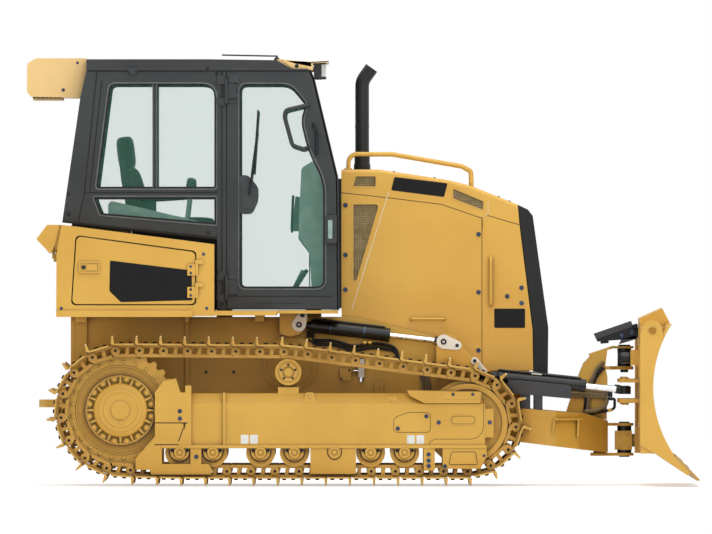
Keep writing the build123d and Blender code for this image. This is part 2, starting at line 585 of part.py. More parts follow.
LOW_GLASS = ((-1745, 1870, 10), (-950, 1870, 10), (-950, 1690, 10), (-1700, 1755, 10))
MULLION = (-1360, -1335)


def cab_cuts(outline):
    """Opening through each side wall."""
    return left_and_right(side_slab(outline, CAB_HALF - CAB_WALL, CAB_HALF + 10))


def cab_frame():
    """Hollow steel frame of the cab with its door and window openings."""
    shell = side_slab(CAB_OUTLINE, -CAB_HALF, CAB_HALF)
    shell = shell - side_slab(CAB_INSIDE, -CAB_HALF + CAB_WALL, CAB_HALF - CAB_WALL)
    door_hole = [(-886, CAB_SILL_Z - 5), (-158, CAB_SILL_Z - 5), (-166, ROOF_Z - 687), (-316, ROOF_Z - 56),
                 (-339, ROOF_Z - 2), (-886, ROOF_Z - 2)]
    for outline in (door_hole, SIDE_GLASS, LOW_GLASS):
        for cut in cab_cuts(outline):
            shell = shell - cut
    shell = shell - block(-940, -875, -CAB_HALF + CAB_WALL, CAB_HALF - CAB_WALL, CAB_SILL_Z - 5, 1620)
    for opening in end_openings():
        shell = shell - opening
    mullions = [block(MULLION[0], MULLION[1], side * (CAB_HALF - CAB_WALL), side * (CAB_HALF - 4), 1900,
                      ROOF_Z - 50) for side in (-1, 1)]
    return joined([shell] + mullions + hinge_halves())


def hinge_halves():
    """Fixed halves of the door hinges, above and below the leaf's own knuckles."""
    halves = []
    for z_from, z_to in HINGE_SPANS:
        for low, high in ((z_from - 34, z_from - SEAT), (z_to + SEAT, z_to + 34)):
            y = CAB_HALF + HINGE_RADIUS + 1
            knuckle = joined([bar((DOOR_HINGE_X, y, low), (DOOR_HINGE_X, y, high), HINGE_RADIUS),
                              block(DOOR_HINGE_X - 60, DOOR_HINGE_X - 3, CAB_HALF - 1, y, low, high)])
            halves += left_and_right(knuckle)
    return halves


def end_openings():
    """Windscreen, rear window and the lower front panes beside the hood, cut fore and aft."""
    y = CAB_HALF - CAB_WALL - 30
    low, high = ROOF_Z - 610, ROOF_Z - 90
    screen = front_slab([(-y, low, 40), (y, low, 40), (y, high, 40), (-y, high, 40)], -420, -100)
    low, high = 1860, ROOF_Z - 250
    rear = front_slab([(-y, low, 40), (y, low, 40), (y, high, 40), (-y, high, 40)], -2000, -1700)
    low, high, y_in = CAB_SILL_Z + 150, ROOF_Z - 730, HOOD_HALF + 70
    lower = front_slab([(y_in, low, 30), (y, low, 30), (y, high, 30), (y_in, high, 30)], -260, -100)
    return [screen, rear] + left_and_right(lower)


def cab_windows():
    """Fixed panes, set in the middle of the wall."""
    panes = []
    y_out = CAB_HALF - 16
    side = side_slab(SIDE_GLASS, y_out - GLASS, y_out)
    side = side - block(MULLION[0], MULLION[1], y_out - 2 * GLASS, y_out + GLASS, 1900, ROOF_Z - 50)
    for pane in side.solids() + [side_slab(LOW_GLASS, y_out - GLASS, y_out)]:
        panes += left_and_right(pane)
    y = CAB_HALF - CAB_WALL
    low, high = ROOF_Z - 660, ROOF_Z - 25
    screen = side_slab([(-184 - GLASS, low), (-184, low), (-336, high), (-336 - GLASS, high)], -y, y)
    high = ROOF_Z - 190
    rear = side_slab([(-1903 - GLASS, 1800), (-1903, 1800), (-1801, high), (-1801 - GLASS, high)], -y, y)
    lower = block(-176 - GLASS, -176, -y, y, CAB_SILL_Z + 110, ROOF_Z - 690)
    sheets = (screen, rear, lower, lower)
    for sheet, opening in zip(sheets, end_openings()):
        panes += (sheet & opening).solids()
    return panes


def cab_roof():
    """Roof panel with its rounded edge, a front visor and the aerial."""
    roof = side_slab([(-1790, ROOF_Z), (-340, ROOF_Z), (-460, ROOF_Z + 10), (-560, ROOF_TOP_Z - 6, 20),
                      (-1000, ROOF_TOP_Z, 40), (-1790, ROOF_TOP_Z, 6)], -CAB_HALF, CAB_HALF)
    aerial = bar((-915, -300, ROOF_TOP_Z + 31), (-560, -300, ROOF_TOP_Z + 24), 5)
    stand = block(-566, -552, -306, -294, ROOF_TOP_Z - 22, ROOF_TOP_Z + 28)
    return joined([roof, stand, aerial])


def roof_visor():
    """Yellow front visor that holds the lamps."""
    outline = [(-341, ROOF_Z), (-322, ROOF_Z), (-322, ROOF_Z + 22, 8), (-530, ROOF_TOP_Z + 2, 30),
               (-562, ROOF_TOP_Z - 4), (-460, ROOF_Z + 8)]
    return side_slab(outline, -CAB_HALF + 20, CAB_HALF - 20) - cab_roof()


def roof_air_unit():
    """Air-conditioner housing behind the roof."""
    top = ROOF_TOP_Z + 8
    body = side_slab([(-2177, ROOF_Z - 141, 10), (-2150, ROOF_Z - 170, 10), (-1829.2, ROOF_Z - 176),
                      (-1790, ROOF_Z), (-1790, top, 8), (-2120, top, 30), (-2177, top - 35, 30)],
                     -AIR_UNIT_HALF, AIR_UNIT_HALF)
    louvre = block(-2140, -1950, 80 - AIR_UNIT_HALF, AIR_UNIT_HALF - 80, ROOF_Z - 190, ROOF_Z - 168)
    return joined([body, louvre])


def work_lamps():
    lamps = []
    for side in (-1, 1):
        for y in (360, 600):
            lens = side_slab([(-318, ROOF_Z - 50, 12), (-262, ROOF_Z - 50, 12), (-252, ROOF_Z + 48, 12),
                              (-318, ROOF_Z + 48, 12)], side * (y - 65), side * (y + 65))
            stem = block(-322, -310, side * (y - 12), side * (y + 12), ROOF_Z, ROOF_Z + 22)
            lamps.append(joined([lens, stem]))
        rear = side_slab([(-2042, 1690, 8), (-1958, 1690), (-1990, 1560), (-2019, 1500, 6), (-2112, 1597, 10)],
                         side * 800, side * 930)
        bracket = block(-2000, -1981.5, side * 845, side * 885, 1450, 1500)
        arm = block(-2010, -1990, side * 845, side * 885, 1470, 1560)
        lamps.append(joined([rear, bracket, arm]))
    return lamps


def cab_floor():
    """Floor, well round the seat and the shelves over the side boxes."""
    well = 545
    pieces = [block(-934, -207, -CAB_HALF + CAB_WALL + 2, CAB_HALF - CAB_WALL - 2, CAB_SILL_Z + 1, CAB_FLOOR_Z),
              block(-1500, -925, -well, well, CAB_SILL_Z + 1, CAB_FLOOR_Z),
              block(-1500, -1480, -well, well, CAB_FLOOR_Z - 5, 1650)]
    for side in (-1, 1):
        pieces.append(side_slab([(-1500, 1200), (-900, 1200), (-900, 1600), (-1500, 1668)],
                                side * (well - 20), side * well))
    shelf = [(-1885, 1708), (-884, 1602), (-884, 1586), (-1885, 1690)]
    for side in (-1, 1):
        pieces.append(side_slab(shelf, side * (well - 20), side * (CAB_HALF - CAB_WALL)))
    pieces.append(side_slab([(-1885, 1708), (-1480, 1665), (-1480, 1647), (-1885, 1690)], -well, well))
    return joined(pieces)


SEAT_BASE = ((-1440, CAB_FLOOR_Z), (-1010, CAB_FLOOR_Z), (-1010, 1560, 40), (-1040, 1640, 30), (-1420, 1640))


def seat():
    """Operator's seat with its arm rests."""
    base = side_slab(SEAT_BASE, -230, 230)
    cushion = side_slab([(-1420, 1640), (-960, 1640, 40), (-950, 1730, 40), (-1400, 1730)], -260, 260)
    back = side_slab([(-1420, 1640), (-1330, 1725, 20), (-1440, 1980), (-1500, 2260, 40), (-1590, 2270, 40),
                      (-1560, 2050), (-1500, 1800)], -230, 230)
    arms = [side_slab([(-1450, 1860, 15), (-1080, 1830, 25), (-1080, 1885, 25), (-1450, 1915, 15)],
                      side * 275, side * 345) for side in (-1, 1)]
    posts = [side_slab([(-1440, 1700), (-1340, 1700), (-1340, 1880), (-1440, 1880)], side * 225, side * 290)
             for side in (-1, 1)]
    return joined([base, cushion, back] + arms + posts)


def cab_consoles():
    """Side consoles with the levers, the dash and its monitor."""
    pieces = []
    for side in (-1, 1):
        pieces.append(side_slab([(-1650, 1683.9), (-960, 1610.9), (-960, 1690, 30), (-1650, 1850, 30)],
                                side * 420, side * (CAB_HALF - CAB_WALL - CONSOLE_GAP)))
        pieces.append(joined([bar((-1150, side * 400, 1650), (-1120, side * 400, 1900), 14),
                              bar((-1120, side * 400, 1890), (-1112, side * 400, 1990), 26),
                              block(-1250, -1050, side * 365, side * 430, 1600, 1660)]))
    dash = side_slab([(-330, CAB_FLOOR_Z), (-240, CAB_FLOOR_Z), (-240, 2050, 20), (-300, 2120, 30), (-400, 2060, 40),
                      (-420, 1600, 40), (-345, 1500)], -330, 330)
    monitor = side_slab([(-462, 1650, 8), (-405, 1650), (-405, 1870), (-440, 1880, 8)], 150, 300)
    pedal = side_slab([(-500, CAB_FLOOR_Z), (-470, CAB_FLOOR_Z), (-360, 1390), (-400, 1400)], -120, -20)
    return pieces + [joined([dash, monitor]), pedal]


def cab_door():
    """Right-angle view of a door leaf, left, hinged at its rear edge."""
    y_in, y_out = CAB_HALF - CAB_WALL + 2, CAB_HALF
    leaf = side_slab(DOOR_OUTLINE, y_in, y_out)
    leaf = leaf - side_slab(DOOR_GLASS, y_in - 5, y_out + 5)
    pieces = [leaf]
    for z_from, z_to in HINGE_SPANS:
        y = CAB_HALF + HINGE_RADIUS + 1
        pieces.append(bar((DOOR_HINGE_X, y, z_from), (DOOR_HINGE_X, y, z_to), HINGE_RADIUS))
        pieces.append(block(DOOR_HINGE_X + 2, DOOR_HINGE_X + 62, CAB_HALF - 1, CAB_HALF + HINGE_RADIUS, z_from, z_to))
    pieces.append(block(-240, -168, CAB_HALF - 1, CAB_HALF + 26, 1570, 1750))
    return joined(pieces)


HINGE_RADIUS = 13
HINGE_SPANS = ((CAB_SILL_Z + 100, CAB_SILL_Z + 190), (ROOF_Z - 180, ROOF_Z - 90))


def door_handle():
    """Grab handle fixed to the door's front edge, left."""
    y_bar = CAB_HALF + 42
    points = [(-355, CAB_HALF - 4, ROOF_Z - 232), (-365, y_bar, ROOF_Z - 226), (-500, y_bar, ROOF_Z - 258),
              (-508, y_bar, ROOF_Z - 300), (-458, y_bar, ROOF_Z - 485), (-385, y_bar, ROOF_Z - 510),
              (-352, CAB_HALF - 4, ROOF_Z - 500)]
    path = Wire(FilletPolyline(points, radius=[18, 30, 60, 40, 18]).edges())
    start = Vector(*points[1]) - Vector(*points[0])
    tube = sweep(Plane(origin=points[0], z_dir=start) * Circle(13), path=path)
    return tube.solids()[0]


def door_pane():
    y_out = CAB_HALF - 16
    return side_slab(DOOR_GLASS, y_out - GLASS, y_out)


# --------------------------------------------------- boxes, tank and fenders
BOX_OUTLINE = ((-1947, 1690), (-1981, 1506), (-1983, BOX_BOTTOM_Z), (-962, BOX_BOTTOM_Z), (-962, 1564))
BOX_HINGE_SPANS = ((1218, 1288), (1362, 1436))      # z from, to
BOX_DOOR = ((-1880, 1177, 30), (-1085, 1177, 30), (-1085, 1512, 30), (-1850, 1616, 30))


def side_box():
    """Hollow box beside the cab, left, with an opening for its door."""
    shell = side_slab(BOX_OUTLINE, BOX_INNER, BOX_OUTER)
    low, front, rear = BOX_BOTTOM_Z + BOX_WALL, -962 - BOX_WALL, -1983 + BOX_WALL
    hollow = side_slab([(-1947 + BOX_WALL, 1662), (rear, 1506), (rear, low), (front, low), (front, 1541)],
                       BOX_INNER + BOX_WALL, BOX_OUTER - BOX_WALL)
    hole = [(x, z, radius) for x, z, radius in grown(BOX_DOOR, DOOR_GAP)]
    shell = shell - hollow - side_slab(hole, BOX_OUTER - 2 * BOX_WALL, BOX_OUTER + 5)
    lip = block(-1983, -1100, BOX_OUTER - 2, BOX_OUTER + 12, BOX_BOTTOM_Z - 6, BOX_BOTTOM_Z + 36)
    pieces = [shell, lip]
    for z_from, z_to in BOX_HINGE_SPANS:
        y = BOX_OUTER + HINGE_RADIUS
        pieces.append(bar((BOX_HINGE_X, y, z_to + SEAT), (BOX_HINGE_X, y, z_to + 26), 10))
        pieces.append(block(BOX_HINGE_X + 7, BOX_HINGE_X + 45, BOX_OUTER - 1, y + 2, z_to + SEAT, z_to + 26))
    return joined(pieces)


def grown(outline, margin):
    """Outline moved outward from its own middle by a margin on each side."""
    middle_x = sum(point[0] for point in outline) / len(outline)
    middle_z = sum(point[1] for point in outline) / len(outline)
    return [(x + math.copysign(margin, x - middle_x), z + math.copysign(margin, z - middle_z), r)
            for x, z, r in outline]


def box_door():
    """Lockable door of a side box, left."""
    leaf = side_slab(BOX_DOOR, BOX_OUTER - BOX_WALL + 4, BOX_OUTER)
    latch = block(-1838, -1702, BOX_OUTER - 1, BOX_OUTER + 8, 1378, 1452)
    pieces = [leaf, latch]
    for z_from, z_to in BOX_HINGE_SPANS:
        y = BOX_OUTER + HINGE_RADIUS
        pieces.append(bar((BOX_HINGE_X, y, z_from), (BOX_HINGE_X, y, z_to), 10))
        pieces.append(block(BOX_HINGE_X - 60, BOX_HINGE_X - 7, BOX_OUTER - 1, y + 2, z_from, z_to))
    return joined(pieces)


def fuel_tank():
    tank = side_slab([(-1975, BOX_BOTTOM_Z), (-1512, BOX_BOTTOM_Z), (-1512, 1650.1), (-1885, 1689.7), (-1950, 1640, 30)],
                     -BOX_INNER + 6, BOX_INNER - 6)
    cap = bar((-1800, -300, 1655), (-1800, -300, 1672), 60)
    return joined([tank, cap])


def fenders():
    """Plates over the tracks in front of the side boxes."""
    plates = []
    for side in (-1, 1):
        plates.append(block(-962 + SEAT, -560, side * (CHASSIS_HALF + 1), side * (BOX_OUTER - 2), FENDER_Z,
                            FENDER_Z + 30))
        front = side_slab([(-560, FENDER_Z), (-440, FENDER_Z + 22), (-158, FENDER_Z + 22),
                           (-158, FENDER_Z - 44, 12), (-28, FENDER_Z - 44, 12), (-28, FENDER_Z + 27, 20),
                           (-158, FENDER_Z + 33), (-560, FENDER_Z + 30)],
                          side * (CHASSIS_HALF + 1), side * (CHASSIS_HALF + 25))
        tread = block(-560, -160, side * 560, side * 740, FENDER_Z + 12, FENDER_Z + 32)
        plates.append(joined([plates.pop(), tread]))
    return plates


# ---------------------------------------------------------------- cylinders
def eye_axis_bar(centre, axis, half, radius):
    step = Vector(*axis) * half
    return bar(tuple(Vector(*centre) - step), tuple(Vector(*centre) + step), radius)


def cylinder_barrel(head, eye, axis, sizes, pin_radius):
    """Barrel from its head pin; sizes name the radius, length, eye and bore."""
    pieces = [bar(along(head, eye, sizes["start"]), along(head, eye, sizes["length"]), sizes["radius"]),
              eye_axis_bar(head, axis, sizes["eye_half"], sizes["eye"]),
              bar(along(head, eye, sizes["length"] - 34), along(head, eye, sizes["length"]), sizes["radius"] + 2),
              bar(head, along(head, eye, sizes["start"] + 4), sizes["neck"])]
    barrel = joined(pieces)
    bore = bar(along(head, eye, sizes["length"] - sizes["bore_depth"]), along(head, eye, sizes["length"] + 5),
               sizes["rod"] + RUNNING_CLEARANCE)
    return barrel - bore - eye_axis_bar(head, axis, sizes["eye_half"] + 5, pin_radius)


def cylinder_rod(head, eye, axis, sizes, pin_radius):
    """Rod from inside the barrel to its own eye."""
    reach = (Vector(*eye) - Vector(*head)).length
    pieces = [bar(along(head, eye, sizes["length"] - sizes["held"]), along(head, eye, reach - sizes["eye"] * 0.8),
                  sizes["rod"]),
              eye_axis_bar(eye, axis, sizes["eye_half"], sizes["eye"]),
              bar(along(head, eye, reach - sizes["eye"] - 22), along(head, eye, reach - sizes["eye"] * 0.7),
                  sizes["rod"] + 8)]
    return joined(pieces) - eye_axis_bar(eye, axis, sizes["eye_half"] + 5, pin_radius)


LIFT_SIZES = {"radius": 42, "rod": 20, "length": 589, "bore_depth": 440, "held": 210, "eye": 40, "eye_half": EYE_HALF,
              "neck": 24, "start": 78}
ANGLE_SIZES = {"radius": 40, "rod": 20, "length": 656, "bore_depth": 500, "held": 240, "eye": 38, "eye_half": EYE_HALF,
               "neck": 18, "start": 44}
TILT_SIZES = {"radius": 34, "rod": 18, "length": 236, "bore_depth": 180, "held": 90, "eye": 35, "eye_half": 27,
              "neck": 25, "start": 40}
PIN_RADIUS = 22


def lift_cylinder():
    head, eye = (LIFT_HEAD[0], LIFT_Y, LIFT_HEAD[1]), (LIFT_EYE[0], LIFT_Y, LIFT_EYE[1])
    barrel = cylinder_barrel(head, eye, (0, 1, 0), LIFT_SIZES, PIN_RADIUS + RUNNING_CLEARANCE)
    return barrel, cylinder_rod(head, eye, (0, 1, 0), LIFT_SIZES, PIN_RADIUS)


def angle_cylinder():
    barrel = cylinder_barrel(ANGLE_HEAD, ANGLE_EYE, (0, 0, 1), ANGLE_SIZES, BALL_PIN_RADIUS + BALL_PIN_PLAY)
    barrel = barrel - ball(ANGLE_HEAD, BALL_RADIUS + SEAT)
    return barrel, cylinder_rod(ANGLE_HEAD, ANGLE_EYE, (0, 0, 1), ANGLE_SIZES, PIN_RADIUS)


def tilt_cylinder():
    head, eye = (NOSE_X, TILT_HEAD_Y, TILT_HEAD_Z), (NOSE_X, TILT_EYE_Y, TILT_HEAD_Z)
    barrel = cylinder_barrel(head, eye, (1, 0, 0), TILT_SIZES, PIN_RADIUS + RUNNING_CLEARANCE)
    return barrel, cylinder_rod(head, eye, (1, 0, 0), TILT_SIZES, PIN_RADIUS)


TILT_HEAD_Y = -20


# ----------------------------------------------------------------- C-frame
NOSE_RADIUS = 60
NOSE_PIN_RADIUS = 34
NOSE_PLATES = ((190, 208), (385, 403))             # z from, to
TOWER_HALF = 112
TOWER_LUG = (750, 772)                             # z of the lower lug of the tower
ARM_TOP_EDGE = ((1020, 500), (1240, 482))
ARM_OUTLINE = ((90, 372, 60), (420, 322), (1030, 284), (1240, 262), (1240, 482), (1020, 500), (900, 540), (850, 660),
               (775, 775), (700, 845), (640, 905), (590, 975, 30), (500, 985, 40), (476, 900), (476, 590), (90, 530, 70))
CROSS_OUTLINE = ((1000, ARM_OUTER), (1250, ARM_OUTER), (1400, 430), (1560, 180), (1592, 120), (1592, -120), (1560, -180),
                 (1400, -430), (1250, -ARM_OUTER), (1000, -ARM_OUTER), (1000, -ARM_INNER), (1230, -ARM_INNER), (1325, -380),
                 (1325, 380), (1230, ARM_INNER), (1000, ARM_INNER))
CROSS_SIDE = ((990, 286), (1560, 215), (1592, 213), (1592, 418), (1450, 464), (1020, 500), (990, 500))


BALL_RADIUS, BALL_PIN_RADIUS = 30, 12
BALL_PIN_PLAY = 4                      # round the pin, so that the barrel can swing on its ball


def ball(centre, radius):
    return Pos(*centre) * Sphere(radius)


def c_frame():
    """Welded push frame: two arms, the cross box, the nose and the tower."""
    pieces = []
    for side in (-1, 1):
        arm = side_slab(ARM_OUTLINE, side * ARM_INNER, side * ARM_OUTER)
        slot_in, slot_out = LIFT_Y - EYE_HALF - 4, LIFT_Y + EYE_HALF + 4
        arm = arm - block(430, 640, side * slot_in, side * slot_out, 850, 1000)
        x, _, z = ANGLE_HEAD
        arm = arm - block(x - 62, x + 200, side * (ARM_INNER - 5), side * (ARM_OUTER + 5), z - EYE_HALF - 30, z + 110)
        for z_from in (z - EYE_HALF - 22, z + EYE_HALF + 4):
            ear = plan_slab([(x - 80, side * ARM_INNER), (x + 34, side * ARM_INNER, 25), (x + 34, side * ARM_OUTER, 25),
                             (x - 80, side * ARM_OUTER)], z_from, z_from + 18)
            pieces.append(ear)
        centre = (x, side * ANGLE_HEAD[1], z)
        pieces.append(bar((x, centre[1], z - EYE_HALF - 20), (x, centre[1], z + EYE_HALF + 20), BALL_PIN_RADIUS))
        pieces.append(ball(centre, BALL_RADIUS))
        pieces += arm.solids()
        pieces.append(side_slab([(x - 82, 560), (x + 20, 560), (x + 20, z - EYE_HALF - 5), (x - 82, z - EYE_HALF - 5)],
                                side * ARM_INNER, side * ARM_OUTER))
        x, z = LIFT_PIVOT
        pieces.append(cross_bar(x, z, 92, side * ARM_INNER, side * ARM_OUTER))
    box = plan_slab(CROSS_OUTLINE, 200, 510) & side_slab(CROSS_SIDE, -ARM_OUTER - 5, ARM_OUTER + 5)
    pieces += box.solids()
    for z_from, z_to in NOSE_PLATES:
        nose = plan_slab([(1480, -150), (1660, -NOSE_RADIUS), (NOSE_X + NOSE_RADIUS, -NOSE_RADIUS, NOSE_RADIUS - 1),
                          (NOSE_X + NOSE_RADIUS, NOSE_RADIUS, NOSE_RADIUS - 1), (1660, NOSE_RADIUS), (1480, 150)],
                         z_from, z_to)
        pieces.append(nose)
    pieces.append(block(1500, 1585, -100, 100, NOSE_PLATES[0][0], 230))
    # Tower: two cheeks, back plate, sloping top plate and lower lug.
    cheek = [(1320, 470), (1585, 425), (1590, 700), (1575, 770), (1590, 884), (1490, 852), (1432, 790), (1392, 690)]
    for side in (-1, 1):
        pieces.append(side_slab(cheek, side * (TOWER_HALF - 20), side * TOWER_HALF))
    pieces.append(side_slab([(1320, 470), (1345, 470), (1415, 690), (1450, 780), (1500, 825), (1490, 840), (1432, 790),
                             (1392, 690)], -TOWER_HALF, TOWER_HALF))
    top = side_slab([(1472, 838), (1625, 888), (NOSE_X + NOSE_RADIUS, 888), (NOSE_X + NOSE_RADIUS, 903), (1620, 903),
                     (1470, 853)], -TOWER_HALF, TOWER_HALF)
    lug = block(1560, NOSE_X + NOSE_RADIUS, -TOWER_HALF, TOWER_HALF, *TOWER_LUG)
    tip = NOSE_X + NOSE_RADIUS
    rounding = plan_slab([(1450, -TOWER_HALF - 5), (1600, -TOWER_HALF - 5), (1650, -NOSE_RADIUS),
                          (tip, -NOSE_RADIUS, NOSE_RADIUS - 1), (tip, NOSE_RADIUS, NOSE_RADIUS - 1),
                          (1650, NOSE_RADIUS), (1600, TOWER_HALF + 5), (1450, TOWER_HALF + 5)], 700, 950)
    pieces += (top & rounding).solids() + (lug & rounding).solids()
    frame = joined(pieces)
    frame = frame - bar((NOSE_X, 0, 150), (NOSE_X, 0, 480), NOSE_PIN_RADIUS + RUNNING_CLEARANCE)
    frame = frame - bar((NOSE_X, 0, 700), (NOSE_X, 0, 950), KNUCKLE_PIN_RADIUS + RUNNING_CLEARANCE)
    x, z = LIFT_PIVOT
    for side in (-1, 1):
        frame = frame - cross_bar(x, z, ARM_PIN_RADIUS + RUNNING_CLEARANCE, side * (ARM_INNER - 5), side * (ARM_OUTER + 5))
    return frame


KNUCKLE_PIN_RADIUS = 26


def arm_top(x):
    """Height of the arm's top edge in front of the tracks."""
    (x_a, z_a), (x_b, z_b) = ARM_TOP_EDGE
    return z_a + (z_b - z_a) * (x - x_a) / (x_b - x_a)


def c_frame_guards():
    """Dark plates that shield the angle cylinders, with their brackets."""
    guards = []
    for side in (-1, 1):
        plate = side_slab([(940, 600), (1350, 563), (1350, 640), (1335, 652), (940, 690)], side * 523, side * 533)
        brackets = [side_slab([(x_from, arm_top(x_from)), (x_to, arm_top(x_to)), (x_to, 600), (x_from, 600)],
                              side * 505, side * 526) for x_from, x_to in ((1022, 1085), (1112, 1165))]
        guards.append(joined([plate] + brackets))
    return guards


def hose(points, radius, bends):
    path = Wire(FilletPolyline(points, radius=bends).edges())
    start = Vector(*points[1]) - Vector(*points[0])
    return sweep(Plane(origin=points[0], z_dir=start) * Circle(radius), path=path).solids()[0]


def c_frame_hoses():
    """Hydraulic lines clipped to the right cheek of the tower."""
    y = -TOWER_HALF - 12 - SEAT
    return [hose([(1345, y, 598), (1480, y, 590), (1572, y, 572)], 12, (400,)),
            hose([(1462, y, 478), (1480, y, 660), (1520, y, 760), (1566, y, 800)], 12, (200, 150)),
            hose([(1440, y - 30, 478), (1520, y - 30, 482), (1584, y - 6, 520), (1588, y, 560)], 12, (110, 50))]


# ---------------------------------------------------------- blade and pivot
def blade_trunnion():
    """Nose block: turns on its upright pin and carries the tilt shaft."""
    block_half = NOSE_RADIUS - 4
    body = block(NOSE_X - 62, NOSE_X + 50, -block_half, block_half, TILT_AXIS_Z - 62, TILT_AXIS_Z + 62)
    pin = bar((NOSE_X, 0, NOSE_PLATES[0][0] - 8), (NOSE_X, 0, NOSE_PLATES[1][1] + 8), NOSE_PIN_RADIUS)
    collars = [bar((NOSE_X, 0, NOSE_PLATES[0][1] + SEAT), (NOSE_X, 0, NOSE_PLATES[1][0] - SEAT), NOSE_PIN_RADIUS + 12)]
    shaft = bar((NOSE_X, 0, TILT_AXIS_Z), (NOSE_X + 150, 0, TILT_AXIS_Z), TILT_SHAFT_RADIUS)
    return joined([body, pin, shaft] + collars)


TILT_SHAFT_RADIUS = 42


def tilt_knuckle():
    """Upper block on the blade's steering axis; holds the tilt cylinder's head."""
    z_low, z_high = TOWER_LUG[1] + SEAT, 888 - SEAT
    body = block(NOSE_X - 44, NOSE_X + 44, 21, 50, z_low + 8, z_high - 8)
    hub = bar((NOSE_X, 0, z_low), (NOSE_X, 0, TILT_HEAD_Z - TILT_SIZES["eye"] - 6), 46)
    hub_top = bar((NOSE_X, 0, TILT_HEAD_Z + TILT_SIZES["eye"] + 6), (NOSE_X, 0, z_high), 46)
    ends = [block(NOSE_X + side * (TILT_SIZES["eye_half"] + 2), NOSE_X + side * 44, -30, 32, z_low + 6, z_high - 6)
            for side in (-1, 1)]
    pin = bar((NOSE_X - 44, TILT_HEAD_Y, TILT_HEAD_Z), (NOSE_X + 44, TILT_HEAD_Y, TILT_HEAD_Z), PIN_RADIUS)
    stubs = [bar((NOSE_X, 0, z_low - 40), (NOSE_X, 0, z_low + 1), KNUCKLE_PIN_RADIUS),
             bar((NOSE_X, 0, z_high - 1), (NOSE_X, 0, 911), KNUCKLE_PIN_RADIUS)]
    return joined([body, hub, hub_top, pin] + ends + stubs)


BLADE_TOP = (1990, 1050)
BLADE_MIDDLE = (1870, 640)
BLADE_TOE = (2006, 205)


def blade_arc():
    """Centre and radius of the moldboard's front face, side view."""
    (ax, az), (bx, bz), (cx, cz) = BLADE_TOP, BLADE_MIDDLE, BLADE_TOE
    d = 2 * (ax * (bz - cz) + bx * (cz - az) + cx * (az - bz))
    a2, b2, c2 = ax * ax + az * az, bx * bx + bz * bz, cx * cx + cz * cz
    x = (a2 * (bz - cz) + b2 * (cz - az) + c2 * (az - bz)) / d
    z = (a2 * (cx - bx) + b2 * (ax - cx) + c2 * (bx - ax)) / d
    return x, z, math.hypot(ax - x, az - z)


ARC_X, ARC_Z, ARC_R = blade_arc()


def face_x(z, depth=0):
    """X of the moldboard's front face at a height, or of a line behind it."""
    radius = ARC_R + depth
    return ARC_X - math.sqrt(radius * radius - (z - ARC_Z) ** 2)


def arc_edge(z_from, z_to, depth, y):
    z_mid = (z_from + z_to) / 2
    points = [(face_x(z, depth), y, z) for z in (z_from, z_mid, z_to)]
    return ThreePointArc(*points).edge()


def line_edges(points, y):
    corners = [(x, y, z) for x, z in points]
    return [Line(a, b).edge() for a, b in zip(corners, corners[1:])]


def blade_slice(z_from, z_to, depth, y_from, y_to, back_x=BLADE_BACK_X):
    """Prism between the blade's back plane and a line behind its front face."""
    edges = [arc_edge(z_from, z_to, depth, y_from)]
    edges += line_edges([(face_x(z_to, depth), z_to), (back_x, z_to), (back_x, z_from), (face_x(z_from, depth), z_from)],
                        y_from)
    return arc_slab(edges, y_from, y_to)


def end_plate():
    """Left end plate, with its lifting hole."""
    y_in, y_out = BLADE_HALF - 22, BLADE_HALF
    top_z = 955
    edges = [arc_edge(BLADE_TOE[1], top_z, 0, y_in)]
    edges += line_edges([(face_x(top_z), top_z), (1924, 1030)], y_in)
    edges.append(ThreePointArc((1924, y_in, 1030), (1863, y_in, 1073), (1800, y_in, 1030)).edge())
    edges += line_edges([(1800, 1030), (BLADE_BACK_X, 985), (BLADE_BACK_X, 268), (1900, 203),
                         (EDGE_FOOT.X - 12, EDGE_FOOT.Z - 14), (EDGE_FOOT.X, EDGE_FOOT.Z), (EDGE_SEAT.X, EDGE_SEAT.Z),
                         (face_x(BLADE_TOE[1]), BLADE_TOE[1])], y_in)
    plate = arc_slab(edges, y_in, y_out)
    return plate - cross_bar(LIFT_HOLE[0], LIFT_HOLE[1], LIFT_HOLE_RADIUS, y_in - 5, y_out + 5)


LIFT_HOLE, LIFT_HOLE_RADIUS = (1865, 1008), 26
EDGE_SLOPE = Vector(158, 0, -165).normalized()       # down the face of the cutting edge
EDGE_SEAT = Vector(2004, 0, 193)                     # top of the edge's back face
EDGE_FOOT = EDGE_SEAT + EDGE_SLOPE * 149             # end of the foot behind the edge
RIB_YS = (410, 930)
RIB_HALF = 12
BEAMS = (                              # z from, to, distance of the ends from the blade's ends
    (215, 400, 10),
    (520, 700, 10),
    (905, 1030, 90),                   # clear of the lifting holes
)


